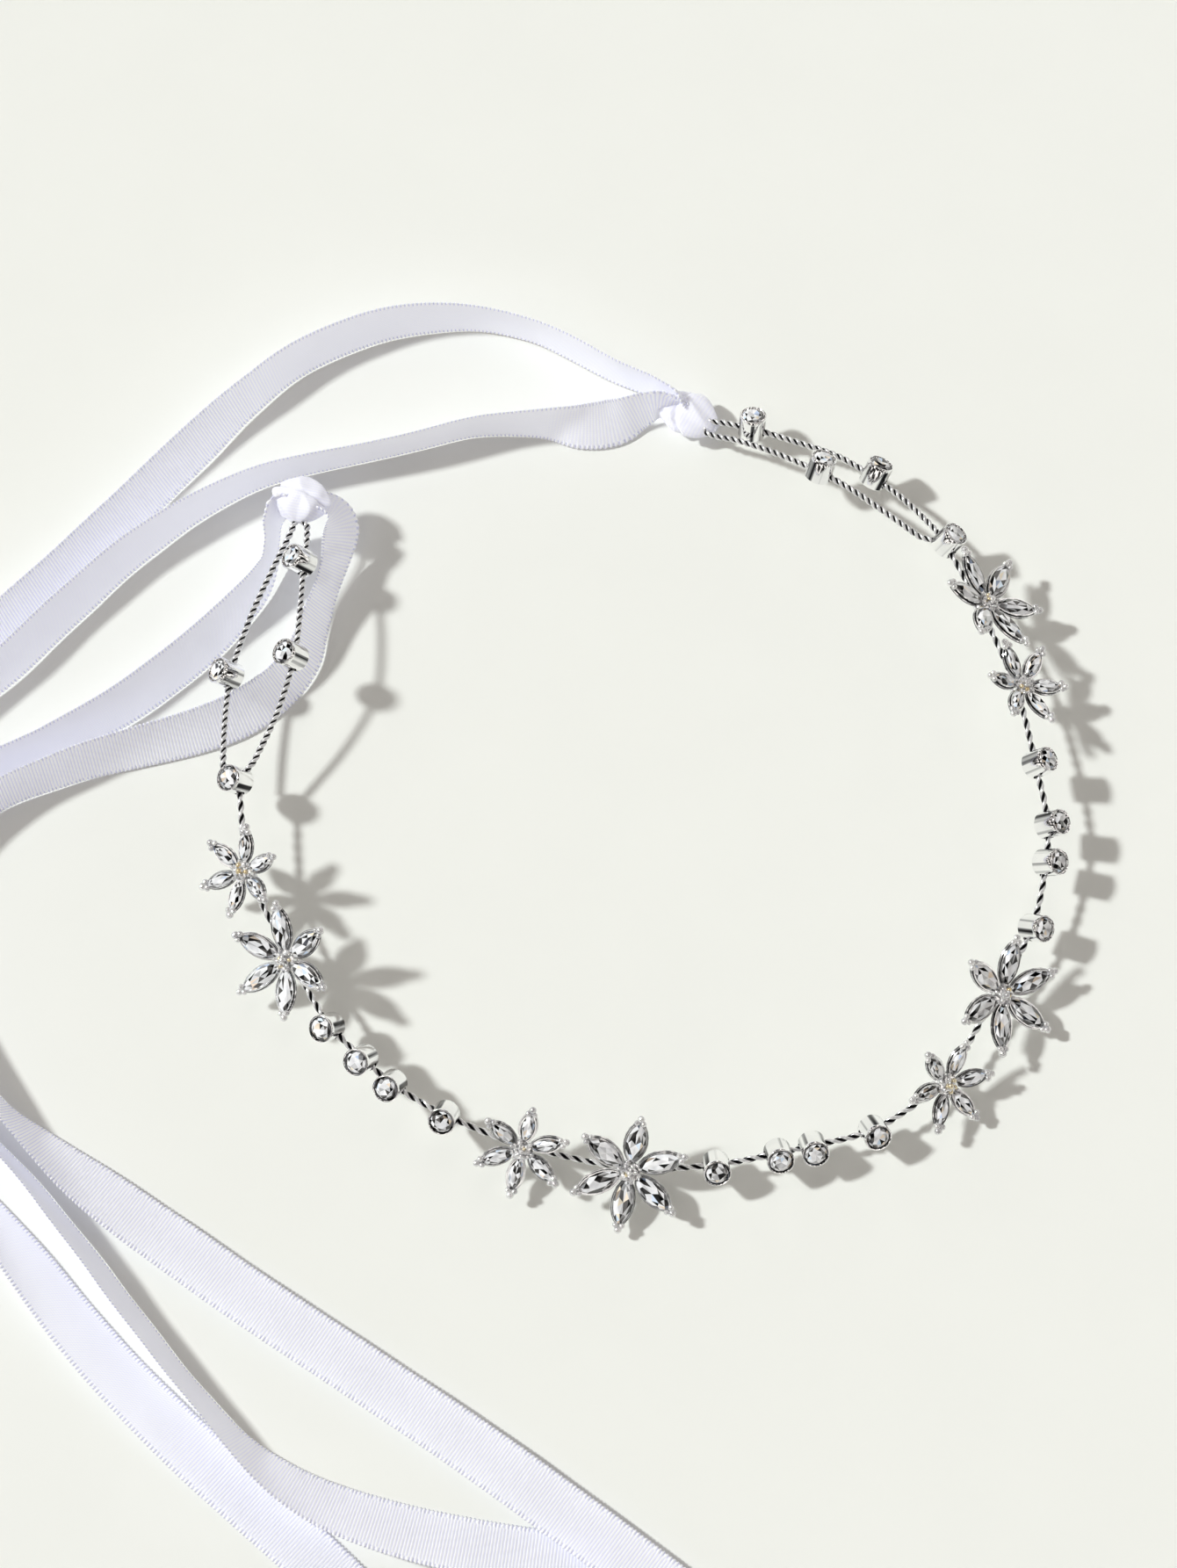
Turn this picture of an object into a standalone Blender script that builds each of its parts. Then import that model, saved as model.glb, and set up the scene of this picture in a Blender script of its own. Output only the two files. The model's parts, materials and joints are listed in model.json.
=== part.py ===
"""Bridal flower crown: a ring of twisted silver wire, open at the back, that carries eight crystal
flowers and twenty round crystals in tubular cups. Each end of the wire is a long eye with a satin
ribbon tied through it. Metres, +Z up, front of the crown at -Y, the surface it lies on at Z = 0."""

import math

import bmesh
import bpy
from mathutils import Matrix, Vector

MM = 0.001
UP = Vector((0, 0, 1))

# The ring of the band, and the wires
BAND_RADIUS = 76.0 * MM
BAND_CENTRE = Vector((1.5 * MM, 0.5 * MM, 0))
WIRE_DIAMETER = 1.2 * MM
LOOP_WIRE_DIAMETER = 1.1 * MM
WIRE_STEP = 4.2 * MM
LOOP_STEP = 3.2 * MM
SPLIT_GAP = 0.5 * MM

# Clearances
TOUCH_GAP = 0.3 * MM
BORE_CLEARANCE = 0.5 * MM
STRAND_GAP = 0.4 * MM

# Tubular cup and its round stone
CUP_DIAMETER = 5.2 * MM
CUP_LENGTH = 5.0 * MM
CUP_WALL = 0.3 * MM
CUP_EDGE = 0.3 * MM
SEAT_DEPTH = 1.5 * MM
STONE_HEIGHT = 2.2 * MM
STONE_CROWN = 0.8 * MM
STONE_TABLE = 0.55
STONE_PROUD = 0.35 * MM
ROUND_SIDES = 12

# Flowers
LARGE_FLOWER = 11.0 * MM
SMALL_FLOWER = 8.7 * MM
PETAL_CUP = math.radians(12)
CLAW_DIAMETER = 1.6 * MM
HUB_DIAMETER = 3.6 * MM
SEAT_THICKNESS = 0.8 * MM
PETAL_CROWN = 0.9 * MM
BOSS_DIAMETER = 3.2 * MM
BOSS_WALL = 0.5 * MM

# Ribbons
RIBBON_WIDTH = 10.5 * MM
RIBBON_THICKNESS = 0.3 * MM
RIBBON_STEP = 9.0 * MM
KNOT_SIZE = (9.0 * MM, 6.6 * MM, 6.4 * MM)
KNOT_ROUNDING = 1.2 * MM
KNOT_REACH = 2.5 * MM

# What the band carries, in order along the wire: name, kind, angle from the front towards +X in
# degrees, distance outside the ring and height of the wire in mm, lean of the face above level, and
# the turn of the petals.
BAND = (
    ("left_junction", "cup", -111.5, 1.9, 10.0, 55, 0),
    ("left_4", "small", -98.2, 1.8, 9.6, 58, 29),
    ("left_3", "large", -84.3, -0.3, 8.2, 57, 31),
    ("left_side_4", "cup", -72.9, 0.2, 8.5, 54, 0),
    ("left_side_3", "cup", -66.2, -0.4, 8.5, 55, 0),
    ("left_side_2", "cup", -60.7, -0.5, 8.4, 54, 0),
    ("left_side_1", "cup", -52.0, -1.5, 7.6, 52, 0),
    ("left_2", "small", -40.0, -2.6, 5.5, 57, 33),
    ("left_1", "large", -24.1, -2.4, 4.6, 60, 22),
    ("left_front_2", "cup", -11.6, -2.1, 5.2, 48, 0),
    ("left_front_1", "cup", -2.5, -1.4, 5.4, 48, 0),
    ("right_front_1", "cup", 2.5, -0.4, 5.4, 47, 0),
    ("right_front_2", "cup", 11.0, 2.2, 5.4, 46, 0),
    ("right_1", "small", 22.6, 3.2, 5.5, 51, 30),
    ("right_2", "large", 37.3, 0.9, 6.1, 55, 26),
    ("right_side_1", "cup", 48.0, 1.3, 7.0, 47, 0),
    ("right_side_2", "cup", 57.5, 0.6, 8.1, 46, 0),
    ("right_side_3", "cup", 62.9, 0.0, 8.8, 46, 0),
    ("right_side_4", "cup", 71.9, -2.4, 9.6, 46, 0),
    ("right_3", "small", 84.0, -2.8, 9.6, 60, 17),
    ("right_4", "large", 97.8, -2.6, 9.6, 52, 9),
    ("right_junction", "cup", 109.3, -0.4, 8.6, 50, 0),
)
# The flowers whose bosses hide the joins of the springy side arms
LEFT_SPLIT = "left_2"
RIGHT_SPLIT = "right_2"

# Each end loop, from its junction cup out to the eye and back: angle, distance outside the ring,
# height, and for a wire point that carries a cup, the cup's name and lean.
LEFT_LOOP = (
    (-113.4, 5.3, 10.3),
    (-119.3, 6.0, 10.6),
    (-126.2, 7.0, 11.0, "left_loop_outer", 42),
    (-134.3, 7.4, 11.8),
    (-142.4, 8.2, 12.6),
    (-147.1, 9.3, 13.0),
    (-149.4, 10.4, 12.8),
    (-149.1, 7.6, 13.0),
    (-144.4, 3.4, 14.0, "left_loop_tip", 45),
    (-137.9, -1.2, 15.0),
    (-130.6, -4.1, 15.0, "left_loop_inner", 55),
    (-121.5, -3.7, 12.8),
    (-114.4, -0.5, 10.6),
)
LEFT_EYE = 6
RIGHT_LOOP = (
    (111.9, 0.6, 8.4),
    (118.2, 1.2, 7.8),
    (124.1, 1.7, 6.8, "right_loop_outer", 45),
    (129.7, 2.0, 6.5),
    (137.1, 1.1, 6.5),
    (143.4, 1.1, 6.2, "right_loop_tip", 62),
    (147.4, 1.3, 5.5),
    (150.6, 1.4, 4.8),
    (149.9, -1.1, 4.8),
    (145.9, -2.0, 6.3),
    (140.3, -2.9, 7.8),
    (131.3, -3.6, 9.0, "right_loop_inner", 50),
    (125.6, -3.7, 9.2),
    (117.7, -3.5, 8.9),
    (112.8, -2.7, 8.5),
)
RIGHT_EYE = 7

# Ribbon tails: x and y from the ring's centre and height of the lower edge above the surface, all
# in mm, and the lean of the ribbon's width above level, rising to the right of its run: 90 stands
# on edge, 0 lies flat.
LEFT_TAIL_INNER = (
    (-38.2, 75.2, 6.8, 90),
    (-36.3, 73.2, 5.6, 90),
    (-35.8, 70.2, 4.0, 85),
    (-37.3, 66.6, 2.2, 80),
    (-39.8, 62.8, 1.0, 75),
    (-43.6, 58.5, 0.3, 68),
    (-47.8, 54.4, 0.2, 62),
    (-52.2, 50.0, 0.2, 56),
    (-58.0, 46.2, 0.2, 52),
    (-65.6, 43.8, 0.2, 48),
    (-77.2, 43.2, 0.2, 52),
    (-90.0, 44.2, 0.2, 60),
    (-103.0, 45.0, 0.2, 68),
    (-116.5, 44.4, 0.2, 75),
    (-128.0, 40.6, 0.2, 78),
    (-136.5, 33.0, 0.2, 80),
    (-140.8, 22.5, 0.2, 80),
    (-141.4, 10.5, 0.2, 80),
    (-139.5, -1.5, 0.2, 78),
    (-136.4, -13.0, 0.2, 72),
    (-131.2, -24.0, 0.4, 50),
    (-124.6, -35.0, 0.7, 24),
    (-115.0, -49.2, 1.0, 10),
    (-104.4, -65.0, 1.2, 6),
    (-91.3, -83.4, 1.4, 5),
    (-78.4, -101.8, 1.6, 4),
    (-67.0, -119.0, 1.8, 3),
    (-56.4, -135.6, 1.8, 3),
    (-48.6, -148.4, 1.6, 3),
)
LEFT_TAIL_OUTER = (
    (-46.4, 78.1, 6.8, 90),
    (-48.5, 76.3, 5.2, 88),
    (-50.3, 73.0, 3.2, 84),
    (-52.5, 69.7, 1.2, 78),
    (-55.8, 66.6, 0.3, 70),
    (-60.6, 63.6, 0.2, 64),
    (-67.0, 60.4, 0.2, 58),
    (-80.0, 55.6, 0.2, 56),
    (-92.0, 52.6, 0.2, 60),
    (-104.0, 50.9, 0.2, 68),
    (-118.0, 49.6, 0.2, 75),
    (-131.6, 45.2, 0.2, 78),
    (-142.2, 36.6, 0.2, 80),
    (-147.6, 24.4, 0.2, 80),
    (-148.2, 10.5, 0.2, 80),
    (-145.8, -3.0, 0.2, 80),
    (-141.6, -15.0, 0.2, 78),
    (-136.8, -27.0, 0.2, 74),
    (-131.6, -43.0, 0.2, 70),
    (-126.6, -59.0, 0.2, 68),
    (-121.6, -75.0, 0.2, 68),
    (-116.6, -88.6, 0.2, 62),
    (-111.0, -98.6, 0.2, 44),
    (-103.0, -107.4, 0.2, 26),
    (-93.0, -115.4, 0.2, 14),
    (-82.0, -122.6, 0.2, 6),
    (-70.0, -129.4, 0.2, 3),
    (-60.0, -134.6, 0.2, 2),
)
RIGHT_TAIL_INNER = (
    (31.0, 73.6, 0.3, 88),
    (27.2, 73.9, 0.3, 70),
    (21.8, 73.8, 0.2, 50),
    (15.8, 75.0, 0.2, 54),
    (9.0, 77.8, 0.2, 76),
    (-3.1, 82.0, 0.2, 88),
    (-14.0, 83.6, 0.2, 90),
    (-26.0, 85.0, 0.2, 90),
    (-38.0, 86.8, 0.2, 88),
    (-50.4, 87.6, 0.2, 84),
    (-61.7, 86.2, 0.2, 78),
    (-74.0, 83.0, 0.2, 70),
    (-90.2, 76.4, 0.2, 64),
    (-107.2, 68.8, 0.2, 64),
    (-124.0, 62.4, 0.2, 68),
    (-139.0, 55.2, 0.2, 76),
    (-150.6, 43.6, 0.2, 80),
    (-156.8, 28.0, 0.2, 80),
    (-157.6, 11.5, 0.2, 80),
    (-154.8, -4.5, 0.2, 78),
    (-150.0, -19.5, 0.2, 66),
    (-145.0, -33.0, 0.2, 46),
    (-140.2, -47.6, 0.2, 28),
    (-135.2, -62.4, 0.2, 18),
    (-129.6, -76.0, 0.2, 12),
    (-123.6, -88.6, 0.2, 6),
    (-117.2, -100.8, 0.2, 3),
    (-111.0, -112.6, 0.2, 2),
    (-105.6, -124.0, 0.2, 2),
    (-101.6, -133.4, 0.2, 2),
)
RIGHT_TAIL_OUTER = (
    (34.5, 74.5, 0.3, 88),
    (31.4, 77.6, 0.3, 88),
    (26.4, 82.6, 0.2, 86),
    (19.8, 90.4, 0.2, 84),
    (13.0, 97.6, 0.2, 86),
    (4.6, 103.4, 0.2, 84),
    (-4.0, 107.2, 0.2, 78),
    (-13.4, 109.2, 0.2, 74),
    (-23.8, 109.4, 0.2, 72),
    (-34.6, 107.8, 0.2, 70),
    (-44.0, 104.6, 0.2, 66),
    (-55.0, 99.8, 0.2, 56),
    (-69.8, 92.6, 0.2, 52),
    (-82.0, 87.0, 0.2, 52),
    (-94.0, 81.8, 0.2, 54),
    (-107.0, 76.6, 0.2, 60),
    (-124.0, 70.4, 0.2, 68),
    (-141.6, 63.2, 0.2, 76),
    (-156.2, 50.8, 0.2, 80),
    (-165.0, 33.0, 0.2, 80),
    (-168.0, 13.0, 0.2, 80),
    (-168.2, -7.0, 0.2, 80),
    (-169.0, -26.0, 0.2, 80),
    (-171.8, -44.0, 0.2, 76),
    (-176.0, -62.0, 0.2, 68),
    (-181.0, -80.0, 0.2, 56),
    (-186.4, -98.0, 0.2, 44),
)


def clear_scene():
    for obj in list(bpy.data.objects):
        bpy.data.objects.remove(obj, do_unlink=True)


def new_collection(name):
    collection = bpy.data.collections.new(name)
    bpy.context.scene.collection.children.link(collection)
    return collection


def new_material(name, colour, roughness, metallic, transmission=0.0):
    material = bpy.data.materials.new(name)
    material.use_nodes = True
    shader = material.node_tree.nodes["Principled BSDF"]
    shader.inputs["Base Color"].default_value = (*colour, 1)
    shader.inputs["Roughness"].default_value = roughness
    shader.inputs["Metallic"].default_value = metallic
    shader.inputs["Transmission Weight"].default_value = transmission
    return material


def new_object(name, data, collection, matrix=None, material=None):
    obj = bpy.data.objects.new(name, data)
    collection.objects.link(obj)
    if matrix is not None:
        obj.matrix_world = matrix
    if material is not None and not data.materials:
        data.materials.append(material)
    return obj


def as_mesh(obj):
    """The evaluated object as a plain mesh with its caps welded; the object is removed."""
    bpy.context.view_layer.update()
    graph = bpy.context.evaluated_depsgraph_get()
    mesh = bpy.data.meshes.new_from_object(obj.evaluated_get(graph))
    shape = bmesh.new()
    shape.from_mesh(mesh)
    bmesh.ops.remove_doubles(shape, verts=shape.verts, dist=1e-6)
    bmesh.ops.recalc_face_normals(shape, faces=shape.faces)
    shape.to_mesh(mesh)
    shape.free()
    bpy.data.objects.remove(obj, do_unlink=True)
    return mesh


def smooth_path(points, step):
    """Points about one step apart on a centripetal Catmull-Rom curve through the given ones."""
    ends = [2 * points[0] - points[1], *points, 2 * points[-1] - points[-2]]
    path = []
    for a, b, c, d in zip(ends, ends[1:], ends[2:], ends[3:]):
        count = max(1, round((c - b).length / step))
        t1 = (b - a).length ** 0.5
        t2 = t1 + (c - b).length ** 0.5
        t3 = t2 + (d - c).length ** 0.5
        for i in range(count):
            t = t1 + (t2 - t1) * i / count
            p = a.lerp(b, t / t1)
            q = b.lerp(c, (t - t1) / (t2 - t1))
            r = c.lerp(d, (t - t2) / (t3 - t2))
            u = p.lerp(q, t / t2)
            v = q.lerp(r, (t - t1) / (t3 - t1))
            path.append(u.lerp(v, (t - t1) / (t2 - t1)))
    path.append(points[-1])
    return path


def ring_point(angle, out, height):
    """A point at this angle from the front, this far outside the band's circle (mm) and high (mm)."""
    radius = BAND_RADIUS + out * MM
    turn = math.radians(angle)
    return BAND_CENTRE + Vector((radius * math.sin(turn), -radius * math.cos(turn), height * MM))


def poly_curve(name, path):
    curve = bpy.data.curves.new(name, "CURVE")
    curve.dimensions = "3D"
    curve.twist_mode = "Z_UP"
    spline = curve.splines.new("POLY")
    spline.points.add(len(path) - 1)
    for point, place in zip(spline.points, path):
        point.co = (*place[:3], 1)
    return curve


def wire(name, path, diameter, collection, material=None):
    curve = poly_curve(name, path)
    curve.bevel_depth = diameter / 2
    curve.bevel_resolution = 2
    curve.use_fill_caps = True
    return new_object(name, curve, collection, material=material)


def ribbon_tail(name, route, collection, material):
    """A flat ribbon: a line drawn across the route, tilted by its lean and thickened."""
    half = RIBBON_WIDTH / 2
    points = []
    for x, y, lift, lean in route:
        z = lift * MM + half * math.sin(math.radians(lean)) + RIBBON_THICKNESS / 2
        place = BAND_CENTRE + Vector((x * MM, y * MM, z))
        points.append(Vector((*place, math.radians(lean) * MM)))
    path = smooth_path(points, RIBBON_STEP)
    curve = poly_curve(name, path)
    curve.extrude = half
    for point, place in zip(curve.splines[0].points, path):
        point.tilt = math.pi / 2 - place[3] / MM
    obj = new_object(name, curve, collection, material=material)
    thickness = obj.modifiers.new("Thickness", "SOLIDIFY")
    thickness.thickness = RIBBON_THICKNESS
    thickness.offset = 0
    return obj


def face_frame(place, run, lean):
    """Axes of a piece on the wire: X along the wire, Z the way its face looks."""
    run = run.normalized()
    out = run.cross(UP).normalized()
    if out.dot(place - BAND_CENTRE) < 0:
        run = -run
        out = -out
    rise = out.cross(run)
    face = out * math.cos(math.radians(lean)) + rise * math.sin(math.radians(lean))
    matrix = Matrix((run, face.cross(run), face)).transposed().to_4x4()
    matrix.translation = place
    return matrix


def turned(name, profile, collection, steps=ROUND_SIDES):
    """A profile of (radius, height) points, outside first from the top down, turned about Z."""
    mesh = bpy.data.meshes.new(name)
    points = [(radius, 0, height) for radius, height in profile]
    mesh.from_pydata(points, [(i, i + 1) for i in range(len(points) - 1)], [])
    obj = new_object(name, mesh, collection)
    screw = obj.modifiers.new("Turn", "SCREW")
    screw.steps = steps
    screw.render_steps = steps
    screw.use_merge_vertices = True
    screw.merge_threshold = 1e-5
    screw.use_smooth_shade = False
    return obj


def cross_bore(name, width, height, wire_diameter, collection):
    """A cutter along X at this height, wider than the piece by a margin each side."""
    mesh = bpy.data.meshes.new(name)
    shape = bmesh.new()
    radius = wire_diameter / 2 + BORE_CLEARANCE
    bmesh.ops.create_cone(
        shape, cap_ends=True, segments=8, radius1=radius, radius2=radius, depth=width * 1.5
    )
    turn = Matrix.Rotation(math.pi / 2, 4, "Y") @ Matrix.Rotation(math.pi / 8, 4, "Z")
    bmesh.ops.transform(shape, matrix=Matrix.Translation((0, 0, height)) @ turn, verts=shape.verts)
    shape.to_mesh(mesh)
    shape.free()
    cutter = new_object(name, mesh, collection)
    cutter.hide_render = True
    cutter.display_type = "WIRE"
    return cutter


def boolean(obj, name, operation, other):
    modifier = obj.modifiers.new(name, "BOOLEAN")
    modifier.operation = operation
    modifier.object = other


def cup_bore_height():
    return CUP_EDGE + WIRE_DIAMETER / 2 + BORE_CLEARANCE + 0.1 * MM


def make_cup_mesh(collection):
    """The tubular cup about its bore: the wire runs along X through the origin."""
    low = -cup_bore_height()
    rim = low + CUP_LENGTH
    radius = CUP_DIAMETER / 2
    seat = rim - SEAT_DEPTH
    floor = seat - 0.5 * (STONE_HEIGHT - STONE_CROWN)
    profile = (
        (0, floor),
        (radius * 0.3, floor),
        (radius - CUP_WALL, seat),
        (radius - CUP_WALL, rim),
        (radius, rim),
        (radius, low + CUP_EDGE),
        (radius - CUP_EDGE, low),
        (0, low),
    )
    cup = turned("cup_blank", profile, collection)
    bore = cross_bore("cup_bore", CUP_DIAMETER, 0, WIRE_DIAMETER, collection)
    boolean(cup, "Wire bore", "DIFFERENCE", bore)
    mesh = as_mesh(cup)
    bpy.data.objects.remove(bore, do_unlink=True)
    return mesh


def make_stone_mesh(collection):
    """The round brilliant, sitting in its cup with the table just proud of the rim."""
    table = CUP_LENGTH - cup_bore_height() + STONE_PROUD
    radius = CUP_DIAMETER / 2 - CUP_WALL - TOUCH_GAP
    girdle = table - STONE_CROWN
    profile = (
        (0, table),
        (radius * STONE_TABLE, table),
        (radius, girdle),
        (radius * 0.97, girdle - 0.15 * MM),
        (0, table - STONE_HEIGHT),
    )
    return as_mesh(turned("stone_blank", profile, collection))


def petal_outline(length):
    """One side of a petal and its claw, hub to tip, as (distance from the middle, half width)."""
    claw = CLAW_DIAMETER / 2
    root = HUB_DIAMETER / 2
    neck = length - claw
    stone = neck - root
    widest = stone * 0.25
    side = [(root + stone * t, widest * w) for t, w in ((0.15, 0.62), (0.45, 1), (0.75, 0.72))]
    return [*side, (neck, claw * 0.45), (length - claw * 0.2, claw), (length + claw, 0)]


def flower_ring(shape, length, turn, level, narrow):
    """One level of the rosette: for each petal its valley, its sides out to the claw, and back."""
    root = HUB_DIAMETER / 2
    side = petal_outline(length)
    outline = [(along, -across) for along, across in side]
    outline += [(along, across) for along, across in side[-2::-1]]
    ring = []
    for petal in range(6):
        middle = turn + petal * math.pi / 3
        valley = middle - math.pi / 6
        reach = root * 0.95
        ring.append([shape.verts.new((reach * math.cos(valley), reach * math.sin(valley), level))])
        for along, across in outline:
            raised = along - root
            flat = root + raised * math.cos(PETAL_CUP)
            across *= narrow
            x = flat * math.cos(middle) - across * math.sin(middle)
            y = flat * math.sin(middle) + across * math.cos(middle)
            ring[-1].append(shape.verts.new((x, y, level + raised * math.sin(PETAL_CUP))))
    return ring


def make_flower_mesh(length, turn, collection):
    """Six navette seats with their stones and claws round a hub, with a drilled boss behind.
    The wire runs along X through the origin."""
    plane = WIRE_DIAMETER / 2 + BORE_CLEARANCE + BOSS_WALL + SEAT_THICKNESS
    layers = ((-SEAT_THICKNESS, 0.7), (0.0, 1.0), (PETAL_CROWN, 0.55))
    shape = bmesh.new()
    rings = [flower_ring(shape, length, turn, plane + level, narrow) for level, narrow in layers]
    for ring in (rings[0], rings[-1]):
        shape.faces.new([petal[0] for petal in ring])
        for petal, following in zip(ring, ring[1:] + ring[:1]):
            neck, other_neck = petal[4], petal[-4]
            shape.faces.new([*petal[:5], *petal[-4:], following[0]])
            shape.faces.new([neck, *petal[5:8], other_neck])
    for lower, upper in zip(rings, rings[1:]):
        lower = [vertex for petal in lower for vertex in petal]
        upper = [vertex for petal in upper for vertex in petal]
        for i, j in zip(range(len(lower)), [*range(1, len(lower)), 0]):
            shape.faces.new((lower[i], lower[j], upper[j], upper[i]))
    mesh = bpy.data.meshes.new("flower")
    bmesh.ops.triangulate(shape, faces=shape.faces)
    bmesh.ops.recalc_face_normals(shape, faces=shape.faces)
    shape.to_mesh(mesh)
    shape.free()
    flower = new_object("flower_blank", mesh, collection)
    boss = make_boss(plane, collection)
    bore = cross_bore("boss_bore", BOSS_DIAMETER, 0, WIRE_DIAMETER, collection)
    boolean(flower, "Boss", "UNION", boss)
    boolean(flower, "Wire bore", "DIFFERENCE", bore)
    finished = as_mesh(flower)
    bpy.data.objects.remove(boss, do_unlink=True)
    bpy.data.objects.remove(bore, do_unlink=True)
    return finished


def make_boss(plane, collection):
    low = -(WIRE_DIAMETER / 2 + BORE_CLEARANCE + BOSS_WALL)
    high = plane
    mesh = bpy.data.meshes.new("boss")
    shape = bmesh.new()
    radius = BOSS_DIAMETER / 2
    bmesh.ops.create_cone(
        shape, cap_ends=True, segments=12, radius1=radius, radius2=radius, depth=high - low
    )
    bmesh.ops.translate(shape, verts=shape.verts, vec=(0, 0, (high + low) / 2))
    shape.to_mesh(mesh)
    shape.free()
    boss = new_object("boss", mesh, collection)
    boss.hide_render = True
    return boss


def make_knot(name, eye, junction, loop_path, sink, collection, cutters, material):
    """The ribbon's lark's head round the eye: a rounded block, open where the wire enters it."""
    along = Vector((eye.x - junction.x, eye.y - junction.y, 0)).normalized()
    across = UP.cross(along)
    matrix = Matrix((along, across, UP)).transposed().to_4x4()
    matrix.translation = eye + along * KNOT_REACH - UP * sink
    mesh = bpy.data.meshes.new(name)
    shape = bmesh.new()
    bmesh.ops.create_cube(shape, size=1)
    bmesh.ops.scale(shape, vec=KNOT_SIZE, verts=shape.verts)
    shape.to_mesh(mesh)
    shape.free()
    knot = new_object(name, mesh, collection, matrix, material)
    rounding = knot.modifiers.new("Rounding", "BEVEL")
    rounding.width = KNOT_ROUNDING
    rounding.segments = 2
    channel = wire(name + "_channel", loop_path, LOOP_WIRE_DIAMETER + 2 * BORE_CLEARANCE, cutters)
    cutter = new_object(name + "_channel_cutter", as_mesh(channel), cutters)
    cutter.hide_render = True
    cutter.display_type = "WIRE"
    boolean(knot, "Wire channel", "DIFFERENCE", cutter)
    return knot


def trimmed(path, start=0.0, end=0.0):
    """The path with this much taken off its first and last straight."""
    path = list(path)
    path[0] = path[0] + (path[1] - path[0]).normalized() * start
    path[-1] = path[-1] + (path[-2] - path[-1]).normalized() * end
    return path


def build_band(parts, cutters, looks):
    places = {name: ring_point(angle, out, height) for name, _, angle, out, height, _, _ in BAND}
    path = smooth_path(list(places.values()), WIRE_STEP)
    index = {name: path.index(place) for name, place in places.items()}
    first, last = index[LEFT_SPLIT], index[RIGHT_SPLIT]
    half_gap = SPLIT_GAP / 2
    spans = (
        ("band_wire_left", path[: first + 1], 0.0, half_gap),
        ("band_wire_front", path[first : last + 1], half_gap, half_gap),
        ("band_wire_right", path[last:], half_gap, 0.0),
    )
    for name, span, start, end in spans:
        wire(name, trimmed(span, start, end), WIRE_DIAMETER, parts, looks["wire"])
    cup_mesh = make_cup_mesh(cutters)
    stone_mesh = make_stone_mesh(cutters)
    for name, kind, _, _, _, lean, turn in BAND:
        i = index[name]
        run = path[min(i + 1, len(path) - 1)] - path[max(i - 1, 0)]
        matrix = face_frame(places[name], run, lean)
        if kind == "cup":
            new_object("cup_" + name, cup_mesh, parts, matrix, looks["setting"])
            new_object("stone_" + name, stone_mesh, parts, matrix, looks["crystal"])
        else:
            length = LARGE_FLOWER if kind == "large" else SMALL_FLOWER
            mesh = make_flower_mesh(length, math.radians(turn), cutters)
            new_object("flower_" + name, mesh, parts, matrix, looks["flower"])
    return places, cup_mesh, stone_mesh


def clear_of_cups(path, points, places):
    """The loop's path, with the strand opposite each cup kept off the cup's wall."""
    reach = CUP_DIAMETER / 2 + LOOP_WIRE_DIAMETER / 2 + STRAND_GAP
    low = -cup_bore_height()
    cups = []
    for point, place in zip(points, places):
        if len(point) == 5:
            i = path.index(place)
            cups.append((i, face_frame(place, path[i + 1] - path[i - 1], point[4])))
    cleared = []
    for k, here in enumerate(path):
        for i, matrix in cups:
            local = matrix.inverted() @ here
            beside = low - reach < local.z < low + CUP_LENGTH + reach
            if abs(k - i) > 2 and beside and local.xy.length < reach:
                local.xy = local.xy.normalized() * reach
                here = matrix @ local
        cleared.append(here)
    return cleared


def build_loop(side, points, eye, junction, sink, meshes, parts, cutters, looks):
    cup_mesh, stone_mesh = meshes
    places = [ring_point(*point[:3]) for point in points]
    path = clear_of_cups(smooth_path(places, LOOP_STEP), points, places)
    wire(f"loop_wire_{side}", path, LOOP_WIRE_DIAMETER, parts, looks["wire"])
    for point, place in zip(points, places):
        if len(point) < 5:
            continue
        name, lean = point[3:]
        i = path.index(place)
        matrix = face_frame(place, path[i + 1] - path[i - 1], lean)
        new_object("cup_" + name, cup_mesh, parts, matrix)
        new_object("stone_" + name, stone_mesh, parts, matrix)
    knot_name = f"ribbon_knot_{side}"
    make_knot(knot_name, places[eye], junction, path, sink, parts, cutters, looks["satin"])


def main():
    clear_scene()
    parts = new_collection("flower_crown")
    cutters = new_collection("cutters")
    looks = {
        "wire": new_material("twisted_wire", (0.80, 0.80, 0.82), 0.22, 1.0),
        "setting": new_material("silver_cup", (0.86, 0.86, 0.88), 0.12, 1.0),
        "flower": new_material("silver_flower", (0.88, 0.89, 0.92), 0.10, 1.0),
        "crystal": new_material("crystal", (0.95, 0.96, 0.98), 0.03, 0.0, 0.8),
        "satin": new_material("satin", (0.93, 0.93, 0.97), 0.45, 0.0),
    }
    places, *meshes = build_band(parts, cutters, looks)
    loops = (
        ("left", LEFT_LOOP, LEFT_EYE, 0.3 * MM),
        ("right", RIGHT_LOOP, RIGHT_EYE, 1.3 * MM),
    )
    for side, points, eye, sink in loops:
        junction = places[f"{side}_junction"]
        build_loop(side, points, eye, junction, sink, meshes, parts, cutters, looks)
    tails = (
        ("ribbon_tail_left_inner", LEFT_TAIL_INNER),
        ("ribbon_tail_left_outer", LEFT_TAIL_OUTER),
        ("ribbon_tail_right_inner", RIGHT_TAIL_INNER),
        ("ribbon_tail_right_outer", RIGHT_TAIL_OUTER),
    )
    for name, route in tails:
        ribbon_tail(name, route, parts, looks["satin"])


main()
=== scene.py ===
import json
import math
import random

import bmesh
import bpy
from mathutils import Matrix, Vector


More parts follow.
